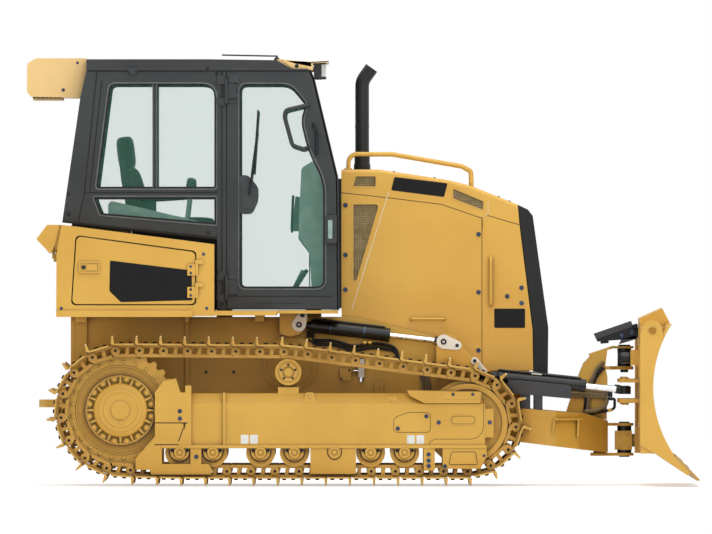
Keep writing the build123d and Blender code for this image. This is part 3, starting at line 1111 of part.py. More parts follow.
def moldboard():
    """Curved face with end plates, back beams, ribs and the lugs for its cylinders."""
    sheet_edges = [arc_edge(BLADE_TOE[1], BLADE_TOP[1], 0, -BLADE_HALF + 10)]
    sheet_edges += line_edges([BLADE_TOP, (face_x(BLADE_TOP[1], MOLDBOARD_THICK), BLADE_TOP[1])], -BLADE_HALF + 10)
    sheet_edges.append(arc_edge(BLADE_TOP[1], BLADE_TOE[1], MOLDBOARD_THICK, -BLADE_HALF + 10))
    sheet_edges += line_edges([(face_x(BLADE_TOE[1], MOLDBOARD_THICK), BLADE_TOE[1]), BLADE_TOE], -BLADE_HALF + 10)
    pieces = [arc_slab(sheet_edges, -BLADE_HALF + 10, BLADE_HALF - 10)]
    for z_from, z_to, short in BEAMS:
        pieces.append(blade_slice(z_from, z_to, MOLDBOARD_THICK / 2, -BLADE_HALF + short, BLADE_HALF - short,
                                  BLADE_BACK_X + 6))
    for side in (-1, 1):
        for y in RIB_YS:
            pieces.append(blade_slice(230, 1020, MOLDBOARD_THICK / 2, side * (y - RIB_HALF), side * (y + RIB_HALF)))
    pieces += left_and_right(end_plate())
    # Foot behind the cutting edge.
    pieces.append(side_slab([(1900, 206), (BLADE_TOE[0] - 2, 210), (EDGE_SEAT.X, EDGE_SEAT.Z), (EDGE_FOOT.X, EDGE_FOOT.Z),
                             (EDGE_FOOT.X - 12, EDGE_FOOT.Z - 14)],
                            -BLADE_HALF + 10, BLADE_HALF - 10))
    # Raised middle of the top edge.
    pieces.append(side_slab([(1795, 1020), (1795, 1085), (1940, 1150), (1990, 1055), (1930, 1020)], -520, 520))
    # Lower bearing, angle cylinder lugs and tilt cylinder bracket.
    pieces.append(block(NOSE_X + 68, BLADE_BACK_X + 20, -88, 88, 208, 372))
    lug_back, lug_front = ANGLE_EYE[0] - 42, BLADE_BACK_X + 20
    for side in (-1, 1):
        for z_from, z_to in ((535, 562), (668, 690)):
            y = ANGLE_EYE[1]
            pieces.append(plan_slab([(lug_front, side * (y - 46)), (lug_back, side * (y - 40), 34),
                                     (lug_back, side * (y + 40), 34), (lug_front, side * (y + 46))], z_from, z_to))
            pieces.append(bar((ANGLE_EYE[0], side * y, z_from - (12 if z_from < 600 else 0)),
                              (ANGLE_EYE[0], side * y, z_to + (12 if z_from > 600 else 0)), 24))
    pieces.append(blade_slice(690, 1000, MOLDBOARD_THICK / 2, TILT_EYE_Y - 45, TILT_EYE_Y + 45))
    reach = TILT_SIZES["eye_half"] + 8
    pieces.append(block(NOSE_X + reach, BLADE_BACK_X + 20, TILT_EYE_Y - 45, TILT_EYE_Y + 45, TILT_HEAD_Z - 48,
                        TILT_HEAD_Z + 52))
    whole = joined(pieces)
    return whole - bar((NOSE_X, 0, TILT_AXIS_Z), (NOSE_X + 156, 0, TILT_AXIS_Z), TILT_SHAFT_RADIUS + RUNNING_CLEARANCE)


def cutting_edge():
    """Straight wearing plates along the bottom of the blade."""
    front = Vector(-EDGE_SLOPE.Z, 0, EDGE_SLOPE.X)
    corners = [EDGE_SEAT, EDGE_SEAT + front * EDGE_THICK, EDGE_SEAT + front * EDGE_THICK + EDGE_SLOPE * 228,
               EDGE_SEAT + EDGE_SLOPE * 214]
    return side_slab([(corner.X, corner.Z) for corner in corners], -BLADE_HALF, BLADE_HALF)


def blade_guard():
    """Black box over the tilt cylinder, bolted to the back of the blade."""
    box = side_slab([(1500, 983), (1744, 1067, 6), (1779, 952), (1525, 932)], -100, 100)
    bracket = side_slab([(1740, 1040), (BLADE_BACK_X + 6 - SEAT, 1022), (BLADE_BACK_X + 6 - SEAT, 960), (1770, 955)], -70, 70)
    foot = side_slab([(1545, 918), (1598, 922), (1598, 945), (1545, 945)], -34, 34)
    return joined([box, bracket, foot])


# -------------------------------------------------------------------- build
def build_undercarriage():
    save_pair("track", track())
    save_pair("track_frame", track_frame())
    save("sprockets", left_and_right(sprocket()))
    save("final_drives", left_and_right(final_drive()))
    save("idlers", left_and_right(idler()))
    rollers = [track_roller(x) for x in ROLLER_XS] + [carrier_roller()]
    save("track_rollers", [copy for roller in rollers for copy in left_and_right(roller)])


def build_chassis():
    save("main_frame", [main_frame()])
    save("engine", [engine()])
    save("hood_top", [hood_top()])
    save("hood_sides", left_and_right(hood_side()))
    save("hood_screens", hood_screens())
    save("radiator_guard", [radiator_guard()])
    save("exhaust_stack", [exhaust_stack()])
    save("hood_rails", left_and_right(hood_rail()))
    save("side_boxes", left_and_right(side_box()))
    save("fuel_tank", [fuel_tank()])
    save("fenders", fenders())


def build_cab():
    save("cab_frame", [cab_frame()])
    save("cab_windows", cab_windows())
    save("cab_roof", [cab_roof()])
    save("roof_visor", [roof_visor()])
    save("roof_air_unit", [roof_air_unit()])
    save("work_lamps", work_lamps())
    save("cab_floor", [cab_floor()])
    save("seat", [seat()])
    save("cab_consoles", cab_consoles())
    door = joined([cab_door(), door_handle()])
    save_pair("cab_door", door)
    save_pair("door_glass", door_pane())
    save_pair("box_door", box_door())


def build_blade_gear():
    save("c_frame", [c_frame()])
    save("c_frame_guards", c_frame_guards())
    save("c_frame_hoses", c_frame_hoses())
    save("blade_trunnion", [blade_trunnion()])
    save("tilt_knuckle", [tilt_knuckle()])
    save("moldboard", [moldboard()])
    save("cutting_edge", [cutting_edge()])
    save("blade_guard", [blade_guard()])
    for name, pieces in (("lift", lift_cylinder()), ("angle", angle_cylinder())):
        save_pair(name + "_barrel", pieces[0])
        save_pair(name + "_rod", pieces[1])
    barrel, rod = tilt_cylinder()
    save("tilt_barrel", [barrel])
    save("tilt_rod", [rod])


os.makedirs("parts", exist_ok=True)
build_undercarriage()
build_chassis()
build_cab()
build_blade_gear()
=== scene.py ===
import math

import bmesh
import bpy
from mathutils import Matrix, Vector


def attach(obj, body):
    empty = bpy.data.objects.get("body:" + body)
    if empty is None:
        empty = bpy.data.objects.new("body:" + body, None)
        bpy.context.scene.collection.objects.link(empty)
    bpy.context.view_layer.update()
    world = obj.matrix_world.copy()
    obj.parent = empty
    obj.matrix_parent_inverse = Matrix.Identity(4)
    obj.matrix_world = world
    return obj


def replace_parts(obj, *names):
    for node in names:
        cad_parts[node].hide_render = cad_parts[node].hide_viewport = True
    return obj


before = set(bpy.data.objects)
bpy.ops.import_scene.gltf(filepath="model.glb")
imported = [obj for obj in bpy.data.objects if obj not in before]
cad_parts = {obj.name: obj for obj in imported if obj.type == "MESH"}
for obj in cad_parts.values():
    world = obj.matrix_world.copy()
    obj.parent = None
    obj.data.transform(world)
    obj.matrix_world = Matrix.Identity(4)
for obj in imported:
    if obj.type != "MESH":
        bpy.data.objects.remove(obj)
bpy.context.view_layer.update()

MM = 0.001
SIDES = (("right", -1), ("left", 1))
CREVICE_SHADE = 0.3                             # how dark the painted shade in crevices makes the paint
HOLE_SHADE = "#2B2113"                  # painted shade of the dark inside, seen through a screen's holes
MATERIALS = {}                         # every material made, by its name


# ---------------------------------------------------------------- colours
def linear(code):
    """An sRGB hex colour as linear RGBA."""
    parts = [int(code[i:i + 2], 16) / 255 for i in (1, 3, 5)]
    return tuple(c / 12.92 if c <= 0.04045 else ((c + 0.055) / 1.055) ** 2.4 for c in parts) + (1.0,)


def node(tree, kind, inputs=(), **settings):
    """Adds one shader node, with its settings, and its sockets set to values or linked."""
    made = tree.nodes.new("ShaderNode" + kind)
    for name, value in settings.items():
        setattr(made, name, value)
    for socket, value in dict(inputs).items():
        if isinstance(value, bpy.types.NodeSocket):
            tree.links.new(value, made.inputs[socket])
        else:
            made.inputs[socket].default_value = value
    return made


def noise(tree, size, detail=2.0, stretch=(1, 1, 1)):
    """Noise whose lumps are about size millimetres across, stretched along an axis by a share below 1."""
    place = node(tree, "TexCoord").outputs["Object"]
    if stretch != (1, 1, 1):
        place = node(tree, "Mapping", {"Vector": place, "Scale": stretch}).outputs["Vector"]
    inputs = {"Vector": place, "Scale": 1 / (size * MM), "Detail": detail}
    return node(tree, "TexNoise", inputs).outputs["Fac"]


def ramp(tree, factor, low, high, start=0.35, end=0.65):
    """Colour from low to high as factor goes from start to end."""
    made = node(tree, "ValToRGB", {"Fac": factor})
    first, last = made.color_ramp.elements
    first.position, last.position = start, end
    first.color, last.color = low, high
    return made.outputs["Color"]


def grey(tree, factor, low, high, start=0.3, end=0.7):
    """Number from low to high as factor goes from start to end."""
    return node(tree, "MapRange", {"Value": factor, "From Min": start, "From Max": end,
                                   "To Min": low, "To Max": high}).outputs["Result"]


def mix(tree, factor, a, b):
    """Colour from a to b as factor goes from 0 to 1."""
    made = node(tree, "Mix", {0: factor, 6: a, 7: b}, data_type="RGBA")
    return made.outputs[2]


def edges(tree, radius):
    """Rounded normal at edges, and a mask that is 1 along them."""
    rounded = node(tree, "Bevel", {"Radius": radius * MM}, samples=4).outputs["Normal"]
    flat = node(tree, "NewGeometry").outputs["True Normal"]
    dot = node(tree, "VectorMath", {0: rounded, 1: flat}, operation="DOT_PRODUCT").outputs["Value"]
    return rounded, grey(tree, dot, 1.0, 0.0, 0.86, 0.985)


def blank_material(name, roughness, metallic=0.0):
    """Adds a material of one roughness; returns its tree and its shader."""
    material = bpy.data.materials.new(name)
    material.use_nodes = True
    MATERIALS[name] = material
    tree = material.node_tree
    shader = tree.nodes["Principled BSDF"]
    shader.inputs["Metallic"].default_value = metallic
    shader.inputs["Roughness"].default_value = roughness
    return tree, shader


def feed(tree, shader, **outputs):
    """Links outputs to the shader's sockets; an underscore in a name stands for a space."""
    for socket, output in outputs.items():
        tree.links.new(output, shader.inputs[socket.replace("_", " ")])


def relief(tree, height, strength, depth, normal=None, invert=False):
    """Normal of a surface with bumps of a depth in millimetres, on top of another normal if one is given."""
    inputs = {"Strength": strength, "Distance": depth * MM, "Height": height}
    if normal is not None:
        inputs["Normal"] = normal
    return node(tree, "Bump", inputs, invert=invert).outputs["Normal"]


def paint(name, light, deep, edge, roughness, round_edge=2.5, coat=0.0, peel=0.06, shine=0.5):
    """Sprayed enamel: tone drifting over the plates, orange peel, a painted highlight along the edges and
    painted shade in the crevices.
    """
    tree, shader = blank_material(name, roughness)
    shader.inputs["Specular IOR Level"].default_value = shine
    shader.inputs["Coat Weight"].default_value = coat
    drift = ramp(tree, noise(tree, 420, 3), linear(deep), linear(light))
    normal, rim = edges(tree, round_edge)
    # Painted highlight: the paler edge colour is laid along the edges, where light catches them.
    edge_lit = mix(tree, rim, drift, linear(edge))
    # Painted shade: an ambient-occlusion mask darkens the paint where plates meet and behind bolts.
    corner = node(tree, "AmbientOcclusion", {"Distance": 60 * MM}, samples=6).outputs["AO"]
    shade_mask = grey(tree, corner, 0.85, 0.0, 0.25, 0.8)
    shade_colour = tuple(value * CREVICE_SHADE for value in linear(deep)[:3]) + (1,)
    feed(tree, shader, Base_Color=mix(tree, shade_mask, edge_lit, shade_colour),
         Roughness=grey(tree, noise(tree, 90, 3), roughness - 0.05, roughness + 0.06),
         Normal=relief(tree, noise(tree, 3), peel, 0.3, normal))


def metal(name, light, deep, roughness, scratch=(1, 1, 1), grain=0.15):
    """Bare or plated metal with fine marks, stretched along the way it was worked."""
    tree, shader = blank_material(name, roughness, 1.0)
    marks = noise(tree, 2, 3, scratch)
    feed(tree, shader, Base_Color=ramp(tree, noise(tree, 30, 3), linear(deep), linear(light)),
         Roughness=grey(tree, marks, roughness * 0.7, roughness * 1.4),
         Normal=relief(tree, marks, grain, 0.05))


def plastic(name, light, deep, roughness, grain_size=1.2, grain=0.25, shine=0.5):
    """Moulded plastic or rubber with a fine leather-like grain; shine is its specular level."""
    tree, shader = blank_material(name, roughness)
    shader.inputs["Specular IOR Level"].default_value = shine
    normal = edges(tree, 1.5)[0]
    feed(tree, shader, Base_Color=ramp(tree, noise(tree, 60, 3), linear(deep), linear(light)),
         Normal=relief(tree, noise(tree, grain_size, 1), grain, 0.2, normal))


def glass(name, light, deep, alpha, roughness=0.03):
    """Toughened pane: a thin film of colour with a faint ripple."""
    tree, shader = blank_material(name, roughness)
    shader.inputs["Alpha"].default_value = alpha
    feed(tree, shader, Base_Color=ramp(tree, noise(tree, 700, 1), linear(deep), linear(light)),
         Normal=relief(tree, noise(tree, 250, 1), 0.02, 0.5))


def woven(name, light, deep, pitch):
    """Woven cloth: two crossed waves one thread apart."""
    tree, shader = blank_material(name, 0.85)
    shader.inputs["Sheen Weight"].default_value = 0.4
    place = node(tree, "TexCoord").outputs["Object"]
    waves = [node(tree, "TexWave", {"Vector": place, "Scale": 0.31 / (pitch * MM), "Distortion": 0.6},
                  bands_direction=way).outputs["Fac"] for way in ("Y", "Z")]
    crossed = node(tree, "Math", {0: waves[0], 1: waves[1]}, operation="MULTIPLY").outputs["Value"]
    feed(tree, shader, Base_Color=ramp(tree, crossed, linear(deep), linear(light), 0.1, 0.7),
         Normal=relief(tree, crossed, 0.5, 0.6))


def perforated(name, light, deep, pitch, hole):
    """Punched or woven screen seen from outside: round holes in rows, painted dark with the shade behind
    them.
    """
    tree, shader = blank_material(name, 0.5)
    place = node(tree, "TexCoord").outputs["Object"]
    flat = node(tree, "Mapping", {"Vector": place, "Scale": (1, 0.001, 1)}).outputs["Vector"]
    cells = node(tree, "TexVoronoi", {"Vector": flat, "Scale": 1 / (pitch * MM), "Randomness": 0.0})
    inside = grey(tree, cells.outputs["Distance"], 1.0, 0.0, hole - 0.06, hole + 0.06)
    wash = ramp(tree, noise(tree, 45, 3), linear(deep), linear(light))
    # Painted shade: the holes take a dark colour for the shaded inside behind the screen.
    feed(tree, shader, Base_Color=mix(tree, inside, wash, linear(HOLE_SHADE)),
         Normal=relief(tree, inside, 0.7, 2, invert=True))


# What each surface is on such a machine, and what it gives the eye.
# The third colour given to each paint is a painted highlight along its edges.
# Two-pack enamel on pressed and welded steel: warm yellow, satin, with a painted highlight on the edges.
paint("yellow_enamel", "#E1B04A", "#DAA742", "#F0CF85", 0.42)
# The same enamel on castings and frames: duller and rougher.
paint("frame_enamel", "#DEAF49", "#D4A441", "#EFCE82", 0.5, 3.0, peel=0.14)
# Shot-blasted and dipped track chain: thin paint that steel shows through; its pale edges are painted
# highlight.
paint("chain_paint", "#D8AB4C", "#C09036", "#F2D898", 0.5, 2.0, peel=0.2)
# Painted highlight: pale paint on the grouser tips and on strips along the hood's fold and front seam, where
# light catches them.
paint("highlight_paint", "#F0DCAE", "#E2C88F", "#F8ECCB", 0.45)
# Textured cab enamel: charcoal, low gloss.
paint("charcoal_enamel", "#373A3B", "#2F3133", "#66696B", 0.5, 3.0, peel=0.12, shine=0.35)
# Roof box and visor, dyed plastic painted a lighter yellow.
paint("roof_enamel", "#F4CE8A", "#F0C77E", "#F9E2B8", 0.36)
# Hydraulic barrels in gloss black.
paint("black_gloss", "#0D0E10", "#08090A", "#2A2C2F", 0.28, 2.0, 0.1, 0.02, 0.3)
# Radiator guard, a darker textured black.
paint("guard_black", "#1B1C1D", "#151617", "#444749", 0.55, 3.0, peel=0.12, shine=0.3)
# Dark grey guards over hoses and cylinders.
paint("guard_grey", "#48494C", "#3E3F42", "#75767A", 0.45, shine=0.35)
# Machined cylinder ends and clevises in grey-white primer.
paint("pale_primer", "#F6F3EA", "#EBE7DB", "#FFFDF6", 0.45)
# Hard chrome on the rods.
metal("rod_chrome", "#E4E7EA", "#C9CDD2", 0.1, (0.05, 1, 1))
# Zinc-plated bolts with a faint blue cast.
metal("zinc_bolt", "#4C5A70", "#303B4B", 0.36)
# Black-oxide bolts and pins.
metal("black_bolt", "#3B3D40", "#2A2B2D", 0.45)
# Brass hose fittings.
metal("brass_fitting", "#C9A65A", "#A98742", 0.3)
# Ground wear steel of the cutting edge: thin paint over bare metal; its pale edges are painted highlight.
paint("edge_steel", "#CFA659", "#B58F4A", "#E9DCC0", 0.42, 3.0, peel=0.2)
# Exhaust in heat-proof black.
paint("stack_black", "#222325", "#18191A", "#4B4D50", 0.4, shine=0.35)
# Rubber seals and hoses.
plastic("black_rubber", "#1E1F20", "#141516", 0.6, shine=0.3)
# Glazing seal, mid grey in the light.
plastic("seal_rubber", "#6A6F70", "#5C6162", 0.6, shine=0.3)
# Braided hose cover, greenish grey.
woven("hose_braid", "#A2906C", "#6A5A3E", 2.4)
# Moulded cab trim.
plastic("dark_trim", "#34383A", "#292C2E", 0.6)
plastic("pale_trim", "#98B0A7", "#869F96", 0.55)
plastic("grey_trim", "#6F7B7A", "#616C6B", 0.6)
# Seat cover cloth.
woven("seat_cloth", "#403634", "#241D1D", 1.6)
# Blank black film where a plate or sign would be.
plastic("black_film", "#0E0F10", "#08090A", 0.5, 4.0, 0.03, 0.2)
# Blank white and yellow labels.
plastic("white_film", "#EDF0EC", "#E1E5E0", 0.4, 4.0, 0.03)
plastic("yellow_film", "#E9E03A", "#DCD22E", 0.4, 4.0, 0.03)
# Tinted safety glass.
glass("cab_glass", "#5CB498", "#54AA8E", 0.1)
# Lamp lenses.
glass("clear_lens", "#F2F6F8", "#E4EAEE", 0.75, 0.08)
glass("amber_lens", "#E8963A", "#D98528", 0.85, 0.12)
# Punched steel screens of the hood, in the machine's yellow.
perforated("hood_screen", "#A08A5C", "#84703F", 11, 0.3)
perforated("front_screen", "#4A4D50", "#3C3F42", 9, 0.3)

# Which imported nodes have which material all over.
NODE_MATERIALS = {
    "yellow_enamel": ("hood_top", "hood_sides", "hood_rails", "side_boxes", "fuel_tank", "fenders",
                      "box_door_left", "box_door_right", "moldboard"),
    "frame_enamel": ("main_frame", "final_drives", "track_frame_left", "track_frame_right", "idlers",
                     "track_rollers", "c_frame", "sprockets", "blade_trunnion"),
    "charcoal_enamel": ("cab_frame", "cab_roof", "cab_door_left", "cab_door_right"),
    "guard_black": ("radiator_guard",),
    "roof_enamel": ("roof_visor", "roof_air_unit"),
    "black_gloss": ("lift_barrel_left", "lift_barrel_right", "angle_barrel_left", "angle_barrel_right",
                    "tilt_barrel", "tilt_knuckle", "blade_guard"),
    "rod_chrome": ("lift_rod_left", "lift_rod_right", "angle_rod_left", "angle_rod_right", "tilt_rod"),
    "guard_grey": ("c_frame_guards",),
    "stack_black": ("exhaust_stack",),
    "cab_glass": ("cab_windows", "door_glass_left", "door_glass_right"),
    "edge_steel": ("cutting_edge",),
    "hose_braid": ("c_frame_hoses",),
    "dark_trim": ("cab_floor", "work_lamps", "engine"),
    "pale_trim": ("cab_consoles",),
    "hood_screen": ("hood_screens",),
    "chain_paint": ("track_left", "track_right"),
    "seat_cloth": ("seat",),
}

# Nodes with a second material: the nodes, the material and the faces that have it, by their middles.
TWO_TONE = (
    (("work_lamps",), "yellow_enamel", lambda at: at.x < -1900),                       # rear lamp housings
    (("angle_rod_left", "angle_rod_right"), "black_gloss", lambda at: at.x > 1618),    # eyes of the rods
    (("lift_rod_left", "lift_rod_right"), "black_gloss", lambda at: at.x > 470),
    (("tilt_rod",), "black_gloss", lambda at: at.y < -348),
    (("blade_trunnion",), "black_bolt", lambda at: not 228 <= at.z <= 352),            # ends of the nose pin
)


def dress_nodes():
    """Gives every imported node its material."""
    for name, members in NODE_MATERIALS.items():
        for member in members:
            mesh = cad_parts[member].data
            mesh.materials.clear()
            mesh.materials.append(MATERIALS[name])
    for members, material, inside in TWO_TONE:
        for member in members:
            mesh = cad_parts[member].data
            mesh.materials.append(MATERIALS[material])
            for face in mesh.polygons:
                if inside(face.center / MM):
                    face.material_index = 1


# ------------------------------------------------------------------ meshes
SHARP = math.radians(34)               # edges that turn more than this stay sharp
CORNER_SHARE = 0.48                    # the most of a side that a rounded corner takes


class Shape:
    """Gathers closed forms into one mesh. Each form takes the material that was last chosen."""

    def __init__(self, *materials):
        self.materials = materials
        self.points, self.faces, self.slots = [], [], []
        self.slot = 0

    def use(self, index):
        """Chooses the material of the forms that follow."""
        self.slot = index

    def add(self, points, faces):
        """Adds one closed form."""
        base = len(self.points)
        self.points += [Vector(point) for point in points]
        self.faces += [[base + corner for corner in face] for face in faces]
        self.slots += [self.slot] * len(faces)

    def loft(self, rings, closed=False):
        """Skin over rings of as many points each, capped at both ends unless closed on itself."""
        count = len(rings[0])
        faces = []
        total = len(rings) * count
        spans = len(rings) if closed else len(rings) - 1
        for ring in range(spans):
            a, b = ring * count, (ring + 1) % len(rings) * count
            faces += [(a + i, a + (i + 1) % count, b + (i + 1) % count, b + i) for i in range(count)]
        if not closed:
            faces += [tuple(reversed(range(count))), tuple(range(total - count, total))]
        self.add([point for ring in rings for point in ring], faces)

    def prism(self, outline, step):
        """Outline drawn out along a step."""
        step = Vector(step)
        self.loft([outline, [Vector(point) + step for point in outline]])

    def side(self, outline, y_from, y_to):
        """Prism of a side view, from (x, z) points."""
        self.prism([(x, y_from, z) for x, z in outline], (0, y_to - y_from, 0))

    def plan(self, outline, z_from, z_to):
        """Prism of a top view, from (x, y) points."""
        self.prism([(x, y, z_from) for x, y in outline], (0, 0, z_to - z_from))

    def box(self, x_from, x_to, y_from, y_to, z_from, z_to):
        """Block between three pairs of planes."""
        self.side(rect(x_from, x_to, z_from, z_to), y_from, y_to)

    def circle(self, centre, out, radius, sides):
        """Points of a circle that faces out."""
        out = Vector(out).normalized()
        across = out.orthogonal().normalized()
        up = out.cross(across)
        angles = [2 * math.pi * index / sides for index in range(sides)]
        return [Vector(centre) + radius * (math.cos(a) * across + math.sin(a) * up) for a in angles]

    def turned(self, centre, out, profile, sides=32):
        """Round form along out, from (distance, radius) pairs."""
        out = Vector(out).normalized()
        self.loft([self.circle(Vector(centre) + out * distance, out, radius, sides)
                   for distance, radius in profile])

    def rod(self, start, end, radius, sides=20):
        """Round bar between two points."""
        axis = Vector(end) - Vector(start)
        self.turned(start, axis, ((0, radius), (axis.length, radius)), sides)

    def hoop(self, centre, out, inner, outer, depth, sides=32):
        """Flat ring with a hole through it."""
        out = Vector(out).normalized()
        low, high = Vector(centre), Vector(centre) + out * depth
        self.loft([self.circle(low, out, inner, sides), self.circle(low, out, outer, sides),
                   self.circle(high, out, outer, sides), self.circle(high, out, inner, sides)], closed=True)

    def bolt(self, at, out, size, washer=True):
        """Hexagon head on its washer; size is the head's radius."""
        out = Vector(out).normalized()
        at = Vector(at)
        if washer:
            self.turned(at, out, ((0, size * 1.25), (size * 0.22, size * 1.25)), 20)
        self.loft([self.circle(at + out * size * share, out, size * wide, 6)
                   for share, wide in ((0.2, 1.0), (0.72, 1.0), (0.86, 0.86))])

    def tube(self, points, radius, sides=14):
        """Round bar or hose along points."""
        points = [Vector(point) for point in points]
        rings = []
        across = (points[1] - points[0]).orthogonal().normalized()
        for index, point in enumerate(points):
            way = points[min(index + 1, len(points) - 1)] - points[max(index - 1, 0)]
            way.normalize()
            across = (across - way * across.dot(way)).normalized()
            up = way.cross(across)
            rings.append([point + radius * (math.cos(a) * across + math.sin(a) * up)
                          for a in (2 * math.pi * i / sides for i in range(sides))])
        self.loft(rings)

    def build(self, name, body, bevel=0.0):
        """Makes the piece, rounds its edges by bevel millimetres and fixes it to a body."""
        mesh = bpy.data.meshes.new(name)
        mesh.from_pydata([point * MM for point in self.points], [], self.faces)
        for material in self.materials:
            mesh.materials.append(MATERIALS[material])
        mesh.polygons.foreach_set("material_index", self.slots)
        mesh.polygons.foreach_set("use_smooth", [True] * len(self.faces))
        mesh.validate()
        fix_normals(mesh)
        mesh.set_sharp_from_angle(angle=SHARP)
        made = bpy.data.objects.new(name, mesh)
        bpy.context.scene.collection.objects.link(made)
        if bevel:
            rounding = made.modifiers.new("rounding", "BEVEL")
            rounding.width, rounding.segments = bevel * MM, 2
            rounding.limit_method, rounding.angle_limit = "ANGLE", SHARP
        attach(made, body)
        return made


def fix_normals(mesh):
    """Turns every face of the closed forms outward."""
    form = bmesh.new()
    form.from_mesh(mesh)
    bmesh.ops.recalc_face_normals(form, faces=form.faces)
    form.to_mesh(mesh)
    form.free()


def rect(x_from, x_to, z_from, z_to):
    """Side-view outline of a rectangle."""
    return [(x_from, z_from), (x_to, z_from), (x_to, z_to), (x_from, z_to)]


def around(centre, radius, angle):
    """Side-view point of a circle."""
    return (centre[0] + radius * math.cos(angle), centre[1] + radius * math.sin(angle))


def bowl(x, z, half, drop, steps):
    """Lower half of a side-view oval, from its front end to its rear end."""
    angles = [math.pi * index / steps for index in range(steps + 1)]
    return [(x + half * math.cos(angle), z - drop * math.sin(angle)) for angle in angles]


def corner_arc(before, corner, after, radius, steps):
    """Points that round one corner; they take up less than half of each side."""
    a, b = before - corner, after - corner
    reach = min(radius, a.length * CORNER_SHARE, b.length * CORNER_SHARE)
    start, end = corner + a.normalized() * reach, corner + b.normalized() * reach
    shares = [step / steps for step in range(steps + 1)]
    return [start * (1 - t) ** 2 + corner * 2 * t * (1 - t) + end * t * t for t in shares]


def bent(points, radius, steps=7):
    """Points of a route with its corners rounded by arcs of about that radius."""
    points = [Vector(point) for point in points]
    route = [points[0]]
    for before, corner, after in zip(points, points[1:], points[2:]):
        route += corner_arc(before, corner, after, radius, steps)
    return route + [points[-1]]


def rounded(outline, radius, steps=5):
    """Closed (x, z) outline with its corners rounded; a third number is a corner's own radius."""
    made = []
    count = len(outline)
    for index in range(count):
        corners = [Vector(outline[(index + shift) % count][:2]) for shift in (-1, 0, 1)]
        own = outline[index][2] if len(outline[index]) > 2 else radius
        made += [tuple(point) for point in corner_arc(*corners, own, steps)]
    return made


def inset(outline, distance):
    """Closed (x, z) outline moved inward by a distance."""
    count = len(outline)
    area = sum(outline[i - 1][0] * outline[i][1] - outline[i][0] * outline[i - 1][1] for i in range(count))
    turn = 1 if area > 0 else -1
    moved = []
    for index in range(count):
        before, corner, after = (Vector(outline[(index + shift) % count]) for shift in (-1, 0, 1))
        normals = []
        for a, b in ((before, corner), (corner, after)):
            way = b - a
            if way.length < 1e-6:
                continue
            way.normalize()
            normals.append(Vector((-way.y, way.x)) * turn)
        middle = sum(normals, Vector((0, 0)))
        middle.normalize()
        moved.append(tuple(corner + middle * distance / max(0.4, middle.dot(normals[0]))))
    return moved


def frame_strip(shape, outline, width, y_from, y_to):
    """Band of a width along the inside of a closed side-view outline."""
    inner = inset(outline, width)
    sections = ((outline, y_from), (outline, y_to), (inner, y_to), (inner, y_from))
    shape.loft([[(x, y, z) for x, z in points] for points, y in sections], closed=True)


def strip_along(shape, points, width, y_from, y_to):
    """Flat band that follows side-view points."""
    for a, b in zip(points, points[1:]):
        way = (Vector(b) - Vector(a)).normalized() * width / 2
        across = Vector((-way.y, way.x))
        start, end = Vector(a) - way, Vector(b) + way
        corners = (start - across, end - across, end + across, start + across)
        shape.side([tuple(corner) for corner in corners], y_from, y_to)


# ------------------------------------------------------- driving dimensions
TRACK_Y = 775                          # half the gauge
SHOE_HALF = 230
LINK_COUNT = 43
PIN_TO_SHOE, SHOE_THICK, GROUSER = 46, 10, 49
PIN_TO_RAIL = 42
STRAND_IN, STRAND_OUT = 45, 75         # one side link, from the chain's middle
SHOE_BOLTS, SHOE_BOLT_Y = (38, 96), 60    # the shoe's bolts: along the link, and from the chain's middle
SPROCKET = (-1569, 491)
SPROCKET_PIN_RADIUS = 386.5
IDLER = (680, 406)
IDLER_PIN_RADIUS = 311
CARRIER = (-483, 737)
CARRIER_RADIUS = 85.5
ROLLER_XS = (-1185, -971, -662, -443, -184, 50, 270)
ROLLER_Z, ROLLER_RADIUS = 217, 80
BELT_WHEELS = (SPROCKET + (SPROCKET_PIN_RADIUS,), CARRIER + (CARRIER_RADIUS + PIN_TO_RAIL + 3.5,),
               IDLER + (IDLER_PIN_RADIUS,), (ROLLER_XS[0], ROLLER_Z, ROLLER_RADIUS + PIN_TO_RAIL))
FIRST_PIN = 0.52                       # of a pitch, from the belt's first point
FRAME_FACE = TRACK_Y + 110             # outer face of a track frame
GUARD_FACE = TRACK_Y + 118             # outer face of its guards
HUB_FACE = TRACK_Y + 62                # outer face of the final drive's cover
RIM_FACE = TRACK_Y + 22                # outer face of the sprocket's rim
CARRIER_FACE = TRACK_Y + 98            # outer face of the carrier roller
CHASSIS_HALF = 415
ARM_OUTER = 533                        # outer face of the push frame's arms
LIFT_Y = 488                           # middle of a lift cylinder
LIFT_HEAD, LIFT_EYE = (-415, 1043), (523, 933)
ANGLE_HEAD, ANGLE_EYE = (790, 475, 712), (1700, 430, 618)
TILT_X, TILT_Z = 1700, 828             # axis of the tilt cylinder
HOOD_HALF = 380
CAB_HALF = 740
AIR_UNIT_HALF = 560
STACK_X = -5                           # middle of the exhaust
BOX_OUTER = 960                        # outer face of a side box's door
BLADE_HALF = 1460


# ------------------------------------------------------------------- tracks
def belt_points(steps=24):
    """Points round the pins' path, over the wheels in turn."""
    normals = []
    for (x_a, z_a, r_a), (x_b, z_b, r_b) in zip(BELT_WHEELS, BELT_WHEELS[1:] + BELT_WHEELS[:1]):
        span = math.hypot(x_b - x_a, z_b - z_a)
        u_x, u_z = (x_b - x_a) / span, (z_b - z_a) / span
        near = (r_a - r_b) / span
        out = math.sqrt(1 - near * near)
        normals.append((near * u_x - out * u_z, near * u_z + out * u_x))
    points = []
    for index, (x, z, radius) in enumerate(BELT_WHEELS):
        start = math.atan2(normals[index - 1][1], normals[index - 1][0])
        end = math.atan2(normals[index][1], normals[index][0])
        turn = (start - end) % (2 * math.pi)
        points += [around((x, z), radius, start - turn * step / steps) for step in range(steps + 1)]
    return points


